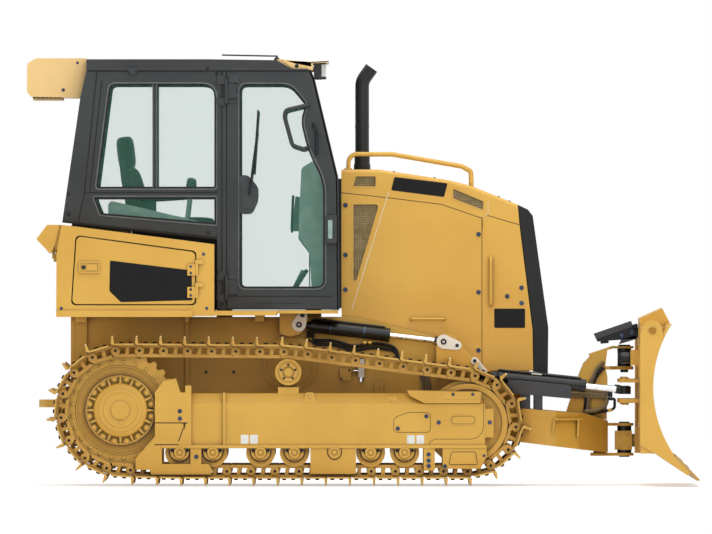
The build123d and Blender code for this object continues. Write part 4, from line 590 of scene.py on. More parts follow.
def track_pins():
    """Middles of the pins, a pitch apart along the belt."""
    points = belt_points()
    points.append(points[0])
    lengths = [math.dist(a, b) for a, b in zip(points, points[1:])]
    pitch = sum(lengths) / LINK_COUNT
    pins, reached, index = [], 0.0, 0
    for link in range(LINK_COUNT):
        wanted = (link + FIRST_PIN) * pitch
        while reached + lengths[index] < wanted:
            reached += lengths[index]
            index += 1
        share = (wanted - reached) / lengths[index]
        (x_a, z_a), (x_b, z_b) = points[index], points[index + 1]
        pins.append((x_a + share * (x_b - x_a), z_a + share * (z_b - z_a)))
    return pins


def chain(side_name, side):
    """One dressed track: side links with bosses and windows, bushings, shoes, grousers and bolts."""
    shape = Shape("chain_paint", "highlight_paint", "black_bolt", "black_rubber")
    pins = track_pins()
    middle = side * TRACK_Y
    for (x_a, z_a), (x_b, z_b) in zip(pins, pins[1:] + pins[:1]):
        length = math.dist((x_a, z_a), (x_b, z_b))
        u_x, u_z = (x_b - x_a) / length, (z_b - z_a) / length

        def at(along, outward):
            """Side-view point in the link's own frame."""
            return (x_a + along * u_x - outward * u_z, z_a + along * u_z + outward * u_x)

        def plate(outline, y_from, y_to):
            """Prism of an outline in the link's own frame."""
            shape.side([at(s, o) for s, o in outline], middle + y_from, middle + y_to)

        tip = PIN_TO_SHOE + GROUSER
        low = PIN_TO_SHOE - SHOE_THICK
        shape.use(0)
        plate([(-28, PIN_TO_SHOE), (-24, tip - 7), (-13, tip - 7), (-7, PIN_TO_SHOE),
               (length - 36, PIN_TO_SHOE), (length - 33, low), (-12, low)], -SHOE_HALF, SHOE_HALF)
        # Painted highlight: pale caps on the grouser tips.
        shape.use(1)
        plate([(-24.3, tip - 7.2), (-22, tip), (-15, tip), (-12.6, tip - 7.2)], -SHOE_HALF, SHOE_HALF)
        shape.use(0)
        for way in (-1, 1):
            y_in, y_out = way * STRAND_IN, way * STRAND_OUT
            plate([(14, 22), (length - 14, 22), (length - 10, low + 1), (10, low + 1)], y_in, y_out)
            plate([(-20, -PIN_TO_RAIL), (length - 26, -PIN_TO_RAIL), (length - 20, -34), (length - 26, -21),
                   (-14, -21), (-24, -34)], y_in, y_out)
            half = length / 2
            plate([(half - 15, -22), (half + 9, -22), (half + 15, 23), (half - 9, 23)], y_in, y_out)
            centre = Vector((x_a, middle + way * (STRAND_IN - 3), z_a))
            out = (0, way, 0)
            width = STRAND_OUT - STRAND_IN
            shape.turned(centre, out, ((0, 31), (width + 5, 31), (width + 8, 28)), 20)
            face = Vector((x_a, middle + way * (STRAND_OUT + 5), z_a))
            shape.hoop(face, out, 10, 19, 2, 20)
            # Painted shade: a thin black disc stands for the dark hole in the pin's end.
            shape.use(3)
            shape.turned(face, out, ((0, 10), (0.6, 10)), 12)
            shape.use(2)
            for along in SHOE_BOLTS:
                x, z = at(along, PIN_TO_SHOE)
                shape.bolt((x, middle + way * SHOE_BOLT_Y, z), (-u_z, 0, u_x), 13, washer=False)
            shape.use(0)
        shape.rod((x_a, middle - STRAND_IN, z_a), (x_a, middle + STRAND_IN, z_a), 24, 16)
    made = shape.build("chain_" + side_name, "chassis")
    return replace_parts(made, "track_" + side_name)


def ring_of_bolts(shape, centre, y, side, radius, count, size, turn=0.0):
    """Bolts evenly round a centre of the side view."""
    for index in range(count):
        x, z = around(centre, radius, turn + 2 * math.pi * index / count)
        shape.bolt((x, y, z), (0, side, 0), size)


HUB_BOLT_COUNT, HUB_BOLT_CIRCLE = 16, 203
RIM_BOLT_COUNT, RIM_BOLT_CIRCLE = 25, 312
HUB_PLUGS = ((-1367, 496), (-1456, 614), (-1571, 325))


def drive_trim(side_name, side):
    """Bolts of the hub cover and the toothed segments, plugs and the cover's rings."""
    out = (0, side, 0)
    x, z = SPROCKET
    cover, rim, cap = side * HUB_FACE, side * RIM_FACE, side * (HUB_FACE + 52)
    half_step = math.pi / HUB_BOLT_COUNT
    bolts = Shape("frame_enamel")
    for index in range(HUB_BOLT_COUNT):
        foot_x, foot_z = around(SPROCKET, HUB_BOLT_CIRCLE, half_step * (2 * index + 1))
        bolts.turned((foot_x, cover, foot_z), out, ((-2, 25), (8, 24), (10, 21)), 24)
    ring_of_bolts(bolts, SPROCKET, cover + side * 10, side, HUB_BOLT_CIRCLE, HUB_BOLT_COUNT, 16, half_step)
    ring_of_bolts(bolts, SPROCKET, rim, side, RIM_BOLT_CIRCLE, RIM_BOLT_COUNT, 11)
    bolts.turned((x, cover + side * 14, z), out, ((0, 178), (22, 168), (34, 138)), 64)
    bolts.turned((x, cap, z), out, ((0, 112), (5, 110)), 56)
    bolts.hoop((x, cap + side * 5, z), out, 50, 55, 2.5, 48)
    bolts.turned((x, cap + side * 5, z - 78), out, ((0, 13), (4, 12)), 20)
    bolts.hoop((x, cover, z), out, 214, 226, 7, 64)
    bolts.hoop((x, rim, z), out, 282, 290, 4, 64)
    bolts.build("drive_bolts_" + side_name, "chassis", 0.8)
    plugs = Shape("black_bolt")
    for plug_x, plug_z in HUB_PLUGS:
        plugs.bolt((plug_x, cover - side * 2, plug_z), out, 10)
    plugs.hoop((x, cover - side, z), out, 226, 231, 3, 64)
    plugs.build("drive_plugs_" + side_name, "chassis")


# Zinc bolts of the track frame: x, z, face.
FRAME_BOLTS = ((-1184, 485, GUARD_FACE), (-1184, 437, GUARD_FACE), (225, 372, FRAME_FACE + 4),
               (410, 452, FRAME_FACE + 4), (490, 412, FRAME_FACE), (820, 412, FRAME_FACE - 3),
               (783, 197, GUARD_FACE - 8), (530, 128, GUARD_FACE), (425, 205, GUARD_FACE),
               (425, 165, GUARD_FACE), (425, 130, GUARD_FACE), (-1078, 190, GUARD_FACE),
               (583, 593, GUARD_FACE + 6), (710, 593, GUARD_FACE + 6))
# Blank labels: material, x from, x to, z from, z to.
FRAME_LABELS = (("yellow_film", 325, 388, 404, 426), ("white_film", 285, 335, 274, 330),
                ("white_film", 346, 396, 274, 330), ("white_film", -790, -740, 274, 332),
                ("white_film", -730, -680, 274, 332))
# Joints between the guard at the sprocket and its foot.
FRAME_GAPS = (((-1340, 409), (-1138, 409)), ((-1150, 403), (-1192, 292)), ((-1345, 268), (-1196, 268)))
# Edge of the plate welded over the frame's front end.
FRONT_PLATE_EDGE = ((780, 560), (780, 385), (770, 345), (740, 316), (700, 304), (470, 304), (440, 292),
                    (425, 268))
CENTRE_ROLLER = ROLLER_XS[4]           # the roller under the step of the guard


def frame_trim(side_name, side):
    """Bolts, slot, cover plates, roller caps and blank labels of one track frame."""
    bolts = Shape("zinc_bolt")
    for x, z, face in FRAME_BOLTS:
        bolts.bolt((x, side * face, z), (0, side, 0), 11)
    bolts.build("frame_bolts_" + side_name, "chassis")

    frame_low, frame_high = side * (FRAME_FACE - 1), side * (FRAME_FACE + 4)
    guard_low, guard_high = side * (GUARD_FACE - 1), side * (GUARD_FACE + 6)
    plates = Shape("frame_enamel")
    cover = rounded([(200, 350), (435, 350), (435, 475), (290, 475), (200, 440)], 26)
    plates.side(cover, frame_low, frame_high)
    plates.side(rounded(rect(512, 758, 563, 612), 12), side * (GUARD_FACE + 5), side * (GUARD_FACE + 10))
    for x, z in ((-345, 580), (190, 555)):
        foot = [(x - 42, z - 40), (x + 42, z - 40), (x + 26, z + 26), (x - 26, z + 26)]
        plates.side(rounded(foot, 12), side * (FRAME_FACE - 30), side * (FRAME_FACE - 14))
        plates.bolt((x, side * (FRAME_FACE - 14), z), (0, side, 0), 12)
    plates.side(rounded(rect(-875, -862, 300, 500), 3), frame_low, side * (FRAME_FACE + 3))
    slot = rounded(rect(570, 725, 400, 455), 27, 8)
    frame_strip(plates, inset(slot, -5), 6, frame_low, frame_high)
    plates.side(rounded([(560, 142), (738, 142), (724, 218), (574, 218)], 14), guard_low, guard_high)
    plates.build("frame_plates_" + side_name, "chassis", 1.0)

    gaps = Shape("black_rubber")
    frame_seam = (frame_low, side * (FRAME_FACE + 0.8))
    guard_seam = (guard_low, side * (GUARD_FACE + 0.8))
    for route in FRAME_GAPS:
        strip_along(gaps, route, 6, *guard_seam)
    frame_strip(gaps, inset(cover, -3), 2.5, *frame_seam)
    frame_strip(gaps, inset(slot, 1), 2.5, *frame_seam)
    frame_strip(gaps, rounded([(555, 137), (743, 137), (729, 223), (569, 223)], 14), 2.5, *guard_seam)
    strip_along(gaps, FRONT_PLATE_EDGE, 2.5, *frame_seam)
    x, z = CENTRE_ROLLER, ROLLER_Z
    for x_low, x_high in ((x - 86, x - 46), (x + 46, x + 86)):
        strip_along(gaps, [(x_low, z + 34), (x_high, z + 34)], 5, *guard_seam)
    strip_along(gaps, [(x + 46, z + 36), *bowl(x, z + 6, 46, 52, 12), (x - 46, z + 36)], 5, *guard_seam)
    for x in ROLLER_XS:
        if x != CENTRE_ROLLER:
            for radius in (42, 69):
                strip_along(gaps, bowl(x, z + 16, radius, radius + 8, 16), 5,
                            side * (GUARD_FACE - 12), side * (GUARD_FACE - 8))
    gaps.build("frame_gaps_" + side_name, "chassis")

    caps = Shape("frame_enamel", "black_bolt")
    out = (0, side, 0)
    for x in ROLLER_XS:
        caps.use(0)
        caps.hoop((x, guard_high, z), out, 24, 36, 6, 28)
        caps.turned((x, guard_high, z), out, ((0, 14), (4, 14), (7, 10)), 20)
        caps.use(1)
        for shift in (-48, 48):
            caps.bolt((x + shift, side * (GUARD_FACE - 10), z + 14), out, 9)
    caps.use(0)
    x, z = CARRIER
    face = side * CARRIER_FACE
    caps.hoop((x, face, z), out, 40, 58, 8, 32)
    caps.turned((x, face, z), out, ((0, 30), (8, 30), (14, 22)), 28)
    caps.use(1)
    ring_of_bolts(caps, CARRIER, face + side * 7, side, 48, 5, 6.5, math.pi / 2)
    caps.build("roller_caps_" + side_name, "chassis")

    labels = Shape("white_film", "yellow_film")
    for film, *sizes in FRAME_LABELS:
        labels.use(labels.materials.index(film))
        labels.side(rounded(rect(*sizes), 4, 3), side * (FRAME_FACE - 0.5), side * (FRAME_FACE + 0.6))
    labels.build("blank_labels_" + side_name, "chassis")


# ------------------------------------------------------------ boxes and cab
BOX_PANEL = ((-1635, 1459), (-1107, 1395), (-1104, 1202), (-1565, 1190), (-1639, 1262))
BOX_LATCH = (-1838, -1702, 1378, 1452)               # x from, x to, z from, z to
BOX_HINGES = ((1218, 1288), (1362, 1436))            # z from, to


def box_trim(side_name, side):
    """Latch, blank dark panel and hinge bolts of a side box's door, and the bolts on the box."""
    x_from, x_to, z_from, z_to = BOX_LATCH
    door = "box_door_" + side_name
    panel = Shape("black_film")
    panel.side(rounded(BOX_PANEL, 8, 3), side * (BOX_OUTER - 0.5), side * (BOX_OUTER + 1.2))
    panel.build("blank_panel_" + side_name, door)
    latch = Shape("yellow_enamel", "black_bolt")
    face = side * (BOX_OUTER + 8)
    rim = rounded(rect(x_from, x_to, z_from, z_to), 10)
    frame_strip(latch, rim, 9, face - side, face + side * 5)
    pocket = rect(x_from + 52, x_to - 16, z_from + 16, z_to - 16)
    latch.side(rounded(pocket, 6), face - side, face + side * 4)
    latch.use(1)
    latch.turned((x_from + 32, face, (z_from + z_to) / 2), (0, side, 0), ((0, 13), (5, 13), (6, 10)), 20)
    latch.build("box_latch_" + side_name, door, 0.8)
    bolts = Shape("zinc_bolt")
    for low, high in BOX_HINGES:
        for z in (low + 16, high - 16):
            bolts.bolt((-1113, side * (BOX_OUTER + 15), z), (0, side, 0), 7)
    bolts.build("box_hinge_bolts_" + side_name, door)
    fixed = Shape("zinc_bolt")
    for x, z in ((-1030, 1500), (-1010, 1150), (-1950, 1150)):
        fixed.bolt((x, side * BOX_OUTER, z), (0, side, 0), 8)
    fixed.build("box_bolts_" + side_name, "chassis")


# Panes of the cab's side: x, z and the corner's radius.
SIDE_GLASS = ((-1728, 1925, 20), (-950, 1925, 20), (-950, 2604, 90), (-1641, 2604, 40))
LOW_GLASS = ((-1745, 1870, 10), (-950, 1870, 10), (-950, 1690, 10), (-1700, 1755, 10))
DOOR_GLASS = ((-800, 1278, 40), (-245, 1278, 60), (-245, 1975, 90), (-345, 2168, 90), (-392, 2365, 60),
              (-357, 2470, 40), (-467, 2603, 60), (-800, 2603, 50))
MULLION = (-1360, -1335)               # joint between the two side panes
BELT_Z = 1898                          # joint under the side panes
SILL = ((-1940, 1716), (-941, 1612), (-941, 1604), (-1940, 1708))
CAB_HINGES = ((1226, 1436), (2478, 2668))              # plates of the door's hinges: z from, to
CAB_HINGE_PLATES = ((2462, 2505), (2604, 2655), (1188, 1236), (1334, 1392))    # their halves on the post
DOOR_SLOTS, DOOR_SLOT_PITCH = 22, 13   # drain slots under the door's glass
# Dark joints of the cab's side: rear post, front post, belt rail.
CAB_GROOVES = (((-1722, 2676), (-1803, 1892), (-1842, 1716)), ((-1690, 2620), (-1768, 1905)),
               ((-913, 2676), (-913, 1160)), ((-1790, BELT_Z), (-945, BELT_Z)))


def cab_trim(side_name, side):
    """Glazing seals, joints, sill and roof strips, hinge halves and bolts of the cab's side."""
    seals = Shape("seal_rubber", "black_rubber")
    face = side * CAB_HALF
    for outline in (SIDE_GLASS, LOW_GLASS):
        seals.use(0)
        frame_strip(seals, inset(rounded(outline, 20), -9), 9, face - side, face + side * 3)
        seals.use(1)
        frame_strip(seals, rounded(outline, 20), 12, face - side * 18, face - side * 2)
    seals.use(0)
    for x in MULLION:
        seals.box(x - 3, x + 3, face - side * 4, face - side * 1, 1930, 2600)
    seals.build("window_seals_" + side_name, "chassis")

    strips = Shape("charcoal_enamel", "black_rubber")
    strips.side([(-1782, 2692), (-352, 2692), (-356, 2700), (-1781, 2700)], face - side * 4, face + side * 2)
    strips.use(1)
    strips.side(rect(-1783, -350, 2680, 2690), face - side * 4, face + side * 2.4)
    for route in CAB_GROOVES:
        strip_along(strips, route, 7, face - side * 2, face + side * 1.5)
    strips.side(SILL, face - side * 2, face + side * 3)
    strips.use(0)
    strips.side(rect(-944, -930, 1150, 2676), face - side * 2, face + side * 4)
    for z_low, z_high in CAB_HINGE_PLATES:
        strips.side(rounded(rect(-938, -892, z_low, z_high), 6), face, face + side * 12)
    bracket = [(-1528, 2706), (-1454, 2706), (-1458, 2684), (-1472, 2684), (-1474, 2662), (-1508, 2662),
               (-1510, 2684), (-1524, 2684)]
    strips.side(rounded(bracket, 4), face - side, face + side * 14)
    strips.build("cab_strips_" + side_name, "chassis", 1.0)
    bolts = Shape("black_bolt")
    for x, z in ((-1007, 2702), (-1905, 1760), (-1907, 1890), (-1002, 1640), (-944, 2666)):
        bolts.bolt((x, face - side * 2, z), (0, side, 0), 10)
    bolts.build("cab_bolts_" + side_name, "chassis")


def door_trim(side_name, side):
    """Glazing seal, drain slots, wiper, latch, hinge plates and grab bar of a cab door."""
    door = "cab_door_" + side_name
    face = side * CAB_HALF
    seal = Shape("seal_rubber", "black_rubber")
    frame_strip(seal, inset(rounded(DOOR_GLASS, 40), -8), 8, face - side, face + side * 2.5)
    seal.use(1)
    frame_strip(seal, rounded(DOOR_GLASS, 40), 12, face - side * 16, face - side * 2)
    strip_along(seal, [(-812, 1228), (-200, 1228)], 5, face - side, face + side * 1.5)
    for index in range(DOOR_SLOTS):
        x = -672 + index * DOOR_SLOT_PITCH
        seal.box(x, x + 6, face - side, face + side * 1.5, 1178, 1184)
    seal.build("door_seal_" + side_name, door)

    wiper = Shape("dark_trim", "black_rubber", "black_bolt")
    motor = [(-800, 1762), (-722, 1762), (-682, 1850), (-682, 1935), (-742, 2012), (-800, 2012)]
    wiper.side(rounded(motor, 26), face - side, face + side * 14)
    lid = [(-786, 1800), (-728, 1800), (-706, 1860), (-706, 1925), (-750, 1985), (-786, 1985)]
    wiper.side(rounded(lid, 20), face + side * 13, face + side * 20)
    wiper.use(2)
    wiper.tube([(-735, face + side * 20, 1890), (-735, face + side * 34, 1890),
                (-712, face + side * 36, 2080), (-684, face + side * 30, 2290)], 6)
    wiper.use(1)
    wiper.side([(-712, 2020), (-700, 2020), (-672, 2432), (-684, 2432)], face + side * 4, face + side * 26)
    wiper.build("door_wiper_" + side_name, door, 0.8)

    latch = Shape("dark_trim", "pale_trim", "black_bolt")
    latch.side(rounded(rect(-236, -172, 1574, 1746), 14), face + side * 25, face + side * 31)
    latch.use(1)
    latch.side(rounded(rect(-226, -198, 1600, 1722), 10), face + side * 30, face + side * 40)
    latch.use(0)
    for z_low, z_high in CAB_HINGES:
        plate = [(-868, z_low), (-812, z_low), (-806, z_low + 20), (-806, z_high - 20), (-812, z_high),
                 (-868, z_high)]
        latch.side(rounded(plate, 8), face - side, face + side * 6)
    latch.use(2)
    for z_low, z_high in ((1240, 1330), (2510, 2600)):
        for x in (-852, -826):
            for z in (z_low - 2, z_low + 45, z_high + 2):
                latch.bolt((x, face + side * 5, z), (0, side, 0), 9)
    latch.tube(bent([(-300, face, 2150), (-300, face + side * 16, 2150), (-300, face + side * 16, 2290),
                     (-322, face + side * 16, 2340), (-322, face, 2340)], 16), 8)
    latch.build("door_latch_" + side_name, door, 0.8)


FRONT_LAMPS = (-600, -360, 360, 600)   # middles of the visor's lamps, across


def lamp_trim():
    """Lenses and bezels of the work lamps, and the reflectors at the rear."""
    lenses = Shape("clear_lens", "dark_trim")
    for y in FRONT_LAMPS:
        lenses.use(0)
        lenses.side([(-268, 2650), (-246, 2650), (-238, 2730), (-268, 2730)], y - 67, y + 67)
        lenses.use(1)
        for z_low, z_high in ((2642, 2650), (2730, 2739)):
            lenses.side([(-270, z_low), (-245, z_low), (-236, z_high), (-270, z_high)], y - 68, y + 68)
    lenses.build("lamp_lenses", "chassis", 0.8)
    rear = Shape("amber_lens")
    lens = rounded([(-2106, 1598), (-2097, 1594), (-2022, 1506), (-2026, 1504)], 2, 2)
    for side in (-1, 1):
        rear.side(lens, side * 812, side * 918)
    rear.build("rear_lenses", "chassis")


# Side plates of the visor's lip, and the wedge between them.
VISOR_SIDE = ((-528, 2756), (-334, 2746), (-222, 2752), (-222, 2741), (-325, 2736), (-325, 2692),
              (-440, 2692))
VISOR_WEDGE = ((-526, 2761), (-345, 2745), (-222, 2752), (-222, 2745), (-334, 2737), (-334, 2713),
               (-440, 2734))
AIR_SLATS, AIR_SLAT_PITCH = 7, 27      # under the air unit


def roof_trim():
    """Slats under the air unit and its screws, the visor's lip and the aerial's foot."""
    trim = Shape("dark_trim", "zinc_bolt")
    for side in (-1, 1):
        face = side * AIR_UNIT_HALF
        trim.use(1)
        trim.bolt((-1942, face, 2564), (0, side, 0), 9)
        trim.bolt((-1850, face, 2740), (0, side, 0), 7)
        trim.use(0)
        for index in range(AIR_SLATS):
            x = -2138 + index * AIR_SLAT_PITCH
            trim.box(x, x + 16, side * 80, side * 520, 2512, 2519)
    trim.build("air_unit_trim", "chassis", 0.6)
    lip = Shape("roof_enamel", "black_bolt")
    for side in (-1, 1):
        face = side * (CAB_HALF - 20)
        lip.use(0)
        lip.side(rounded(VISOR_SIDE, 4, 2), face - side, face + side * 3)
        lip.use(1)
        lip.bolt((-429, face + side * 3, 2719), (0, side, 0), 10)
    lip.use(0)
    lip.side(VISOR_WEDGE, 17 - CAB_HALF, CAB_HALF - 17)
    lip.build("visor_lip", "chassis", 0.8)
    foot = Shape("black_rubber")
    foot.turned((-559, -300, 2762), (0, 0, 1), ((-10, 20), (6, 18), (16, 10)), 24)
    foot.build("aerial_foot", "chassis")


# --------------------------------------------------------------------- hood
HOOD_SEAM = ((-138, 1899), (183, 1864), (512, 1823), (770, 1734), (806, 1752), (1012, 1692))
HOOD_BOLTS = ((-113, 1818), (-113, 1495), (-113, 1270), (750, 1629), (750, 1253), (750, 876), (936, 1227),
              (1029, 1282), (1029, 1183))
HOOD_WINDOWS = (((-62, 1942), (82, 1938), (82, 2004), (-45, 2004)),
                ((586, 1862), (779, 1788), (781, 1842), (586, 1924)),
                ((-62, 1822), (-62, 1330), (-44, 1330), (98, 1806), (90, 1822)))
# Flange that closes the hood's side down to the frame.
HOOD_SKIRT = ((-138, 1140), (-138, 1090), (-60, 1089), (503, 957), (564, 893), (600, 940), (560, 972),
              (60, 1102))
# Blank plate on the hood's upper side.
HOOD_SIGN = ((204, 2001), (549, 1960), (526, 1871), (183, 1915))
# Grab bars: x and z of one foot, x and z of the other, how far they stand out, corner and bar radius.
HOOD_BARS = ((830, 1168, 830, 1478, 42, 26, 9), (310, 1080, 530, 1080, 34, 20, 8))
BACK_EDGE = -138.5                     # x of the hood's rear edge


def hood_trim(side_name, side):
    """Panel joints, folds with painted highlights, bolts, blank plates and grab bars of the hood's side."""
    face = side * HOOD_HALF
    low = face - side * 2
    joints = Shape("black_rubber")
    strip_along(joints, HOOD_SEAM, 4, low, face + side * 0.6)
    strip_along(joints, [(772, 1733), (772, 760)], 4, low, face + side * 0.6)
    strip_along(joints, [(812, 1838), (812, 1756)], 3, low, face + side * 0.6)
    strip_along(joints, [(775, 1725), (775, 1659)], 3, low, face + side * 0.7)
    joints.build("hood_joints_" + side_name, "chassis")
    folds = Shape("yellow_enamel", "highlight_paint")
    folds.side(HOOD_SKIRT, face - side * 3, face + side * 2.5)
    # Painted highlight: pale strips along the hood's fold and its front seam.
    folds.use(1)
    strip_along(folds, [(167, 1902), (-72, 1141)], 7, face - side, face + side * 1.6)
    strip_along(folds, [(812, 1838), (812, 1758), (780, 1740)], 4, face + side * 0.4, face + side * 1.4)
    folds.use(0)
    for window in HOOD_WINDOWS:
        frame_strip(folds, inset(rounded(window, 10), -9), 8, face - side, face + side * 2.5)
    folds.build("hood_folds_and_highlights_" + side_name, "chassis")
    bolts = Shape("zinc_bolt")
    for x, z in HOOD_BOLTS:
        bolts.bolt((x, face, z), (0, side, 0), 12)
    bolts.build("hood_bolts_" + side_name, "chassis")
    plates = Shape("black_film")
    for outline in (HOOD_SIGN, rect(852, 1052, 1022, 1147)):
        plates.side(rounded(outline, 8, 3), low, face + side * 1.4)
    plates.build("hood_blank_plates_" + side_name, "chassis")
    rails = Shape("yellow_enamel")
    for x_a, z_a, x_b, z_b, stand, corner, radius in HOOD_BARS:
        out = face + side * stand
        route = [(x_a, face, z_a), (x_a, out, z_a), (x_b, out, z_b), (x_b, face, z_b)]
        rails.tube(bent(route, corner), radius)
    rails.build("hood_handles_" + side_name, "chassis")


def grille_trim():
    """Screen behind the grille bars, stack clamp, screws on the hood's top and the seal behind it."""
    screen = Shape("front_screen")
    screen.side([(1056, 1688), (1058, 1688), (1148, 1010), (1148, 802), (1146, 802), (1146, 1010)], -318, 318)
    screen.build("grille_screen", "chassis")
    clamp = Shape("stack_black")
    clamp.hoop((STACK_X, 0, 2150), (0, 0, 1), 45.5, 53, 14, 40)
    clamp.hoop((STACK_X, 0, 2330), (0, 0, 1), 44.5, 48, 6, 40)
    clamp.build("stack_clamp", "chassis", 0.8)
    screws = Shape("black_bolt")
    for x, z, slope in ((200, 2036, -0.15), (465, 1996, -0.15), (880, 1873, -0.4), (950, 1845, -0.4)):
        for y in (-330, 330):
            screws.bolt((x, y, z - 3), (-slope, 0, 1), 8)
    screws.build("hood_screws", "chassis")
    seal = Shape("black_rubber")
    for z_low, z_high in ((1150, 1640), (1640, 1990)):
        seal.box(-160, BACK_EDGE, 6 - HOOD_HALF, HOOD_HALF - 6, z_low, z_high)
    seal.build("cab_hood_seal", "chassis")


# --------------------------------------------------------- inside of the cab
def pad(shape, x, y, z, size, lean=0.0, crown=0.0, sides=28, rings=15, power=4.0):
    """Stuffed form: a soft-cornered block round a centre, leant back by an angle in the side view."""
    half_x, half_y, half_z = (length / 2 for length in size)
    turn = Matrix.Rotation(lean, 3, "Y")

    def soft(value):
        """Sine or cosine squared up, so that the form's corners are fuller."""
        return math.copysign(abs(value) ** (2 / power), value)

    made = []
    for ring in range(rings):
        height = -math.pi / 2 + math.pi * (ring + 0.5) / rings
        across, along = soft(math.cos(height)), soft(math.sin(height))
        points = []
        for index in range(sides):
            angle = 2 * math.pi * index / sides
            local = Vector((half_x * across * soft(math.cos(angle)), half_y * along,
                            half_z * across * soft(math.sin(angle))))
            local.z += crown * (1 - (local.y / half_y) ** 2) * (1 if local.z > 0 else 0)
            points.append(Vector((x, y, z)) + turn @ local)
        made.append(points)
    shape.loft(made)


BELLOWS_FOLDS, BELLOWS_FOOT, BELLOWS_PITCH = 6, 1330, 44     # of the seat's suspension
BACK_LEAN = -0.27                      # of the seat's back, in radians


def seat():
    """Suspension seat: bellows, cushion and back with bolsters and piping, two arm rests."""
    base = Shape("dark_trim")
    for index in range(BELLOWS_FOLDS):
        z = BELLOWS_FOOT + index * BELLOWS_PITCH
        grow = 12 if index % 2 else 0
        base.plan(rect(-1420 - grow, -1030 + grow, -205 - grow, 205 + grow), z, z + BELLOWS_PITCH)
    base.box(-1436, -1014, -225, 225, 1206, 1332)
    base.box(-1415, -1000, -228, 228, 1592, 1640)
    for side in (-1, 1):
        base.side(rounded(rect(-1436, -1346, 1700, 1876), 14), side * 232, side * 286)
    spine = [(-1530, 1760), (-1482, 1752), (-1532, 2000), (-1548, 2110), (-1584, 2110), (-1572, 1990)]
    base.side(rounded(spine, 14), -205, 205)
    base_piece = base.build("seat_base", "chassis", 2.0)

    cushion = Shape("seat_cloth")
    pad(cushion, -1180, 0, 1690, (430, 400, 84), -0.02, 8)
    for side in (-1, 1):
        pad(cushion, -1180, side * 215, 1694, (430, 84, 92), -0.02)
    for side in (-1, 1):
        cushion.tube([(-1385, side * 176, 1728), (-1180, side * 176, 1734), (-975, side * 176, 1728)], 4, 8)
    cushion_piece = cushion.build("seat_cushion", "chassis")

    back = Shape("seat_cloth")
    pad(back, -1470, 0, 1900, (88, 330, 350), BACK_LEAN)
    for side in (-1, 1):
        pad(back, -1462, side * 190, 1888, (104, 80, 340), BACK_LEAN)
    pad(back, -1540, 0, 2158, (116, 290, 214), -0.12)
    back_piece = back.build("seat_back", "chassis")

    for name, side in SIDES:
        rest = Shape("dark_trim")
        pad(rest, -1265, side * 310, 1874, (368, 68, 54), -0.06, 2)
        rest.build("arm_rest_" + name, "chassis")
    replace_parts(cushion_piece, "seat")


LEVER_Y = 400                          # the levers, either side of the seat


def cab_inside():
    """Dash panels, monitor, pedals, boots and knobs of the levers, and the mat on the floor."""
    dash = Shape("grey_trim", "dark_trim", "black_film")
    dash.side([(-419, 1602), (-346, 1502), (-342, 1506), (-412, 1606)], -330, 330)
    dash.side([(-349, 1215), (-343, 1215), (-343, 1500), (-351, 1500)], -322, 322)
    dash.use(1)
    dash.side(rounded([(-470, 1640), (-456, 1640), (-446, 1884), (-462, 1884)], 3), 145, 305)
    dash.use(2)
    dash.side([(-472, 1660), (-470, 1660), (-462, 1864), (-464, 1864)], 163, 287)
    dash.use(1)
    for y in (-230, -70):
        dash.side(rounded([(-505, 1206), (-470, 1206), (-352, 1392), (-372, 1406)], 6), y - 48, y + 48)
    dash.build("dash_trim", "chassis", 1.0)
    levers = Shape("black_rubber", "dark_trim")
    knob = ((0, 18), (12, 29), (70, 31), (104, 26), (112, 12))
    for y in (-LEVER_Y, LEVER_Y):
        levers.use(0)
        for index in range(4):
            fold = ((0, 44 - index * 8), (8, 46 - index * 8), (16, 36 - index * 8))
            levers.turned((-1146, y, 1658 + index * 16), (0.12, 0, 1), fold, 20)
        levers.use(1)
        levers.turned((-1121, y, 1884), (0.08, 0, 1), knob, 24)
    levers.build("lever_boots", "chassis")
    tread = Shape("black_rubber")
    tread.plan(rect(-925, -520, -520, 520), 1205, 1209)
    for index in range(11):
        x = -905 + index * 36
        tread.box(x, x + 14, -500, 500, 1208, 1213)
    tread.build("floor_mat", "chassis", 1.0)


# ------------------------------------------------------- chassis and gear
DRIVE_COVER = (-475, 790)              # round cover on the chassis side
DRIVE_COVER_BOLTS = 12


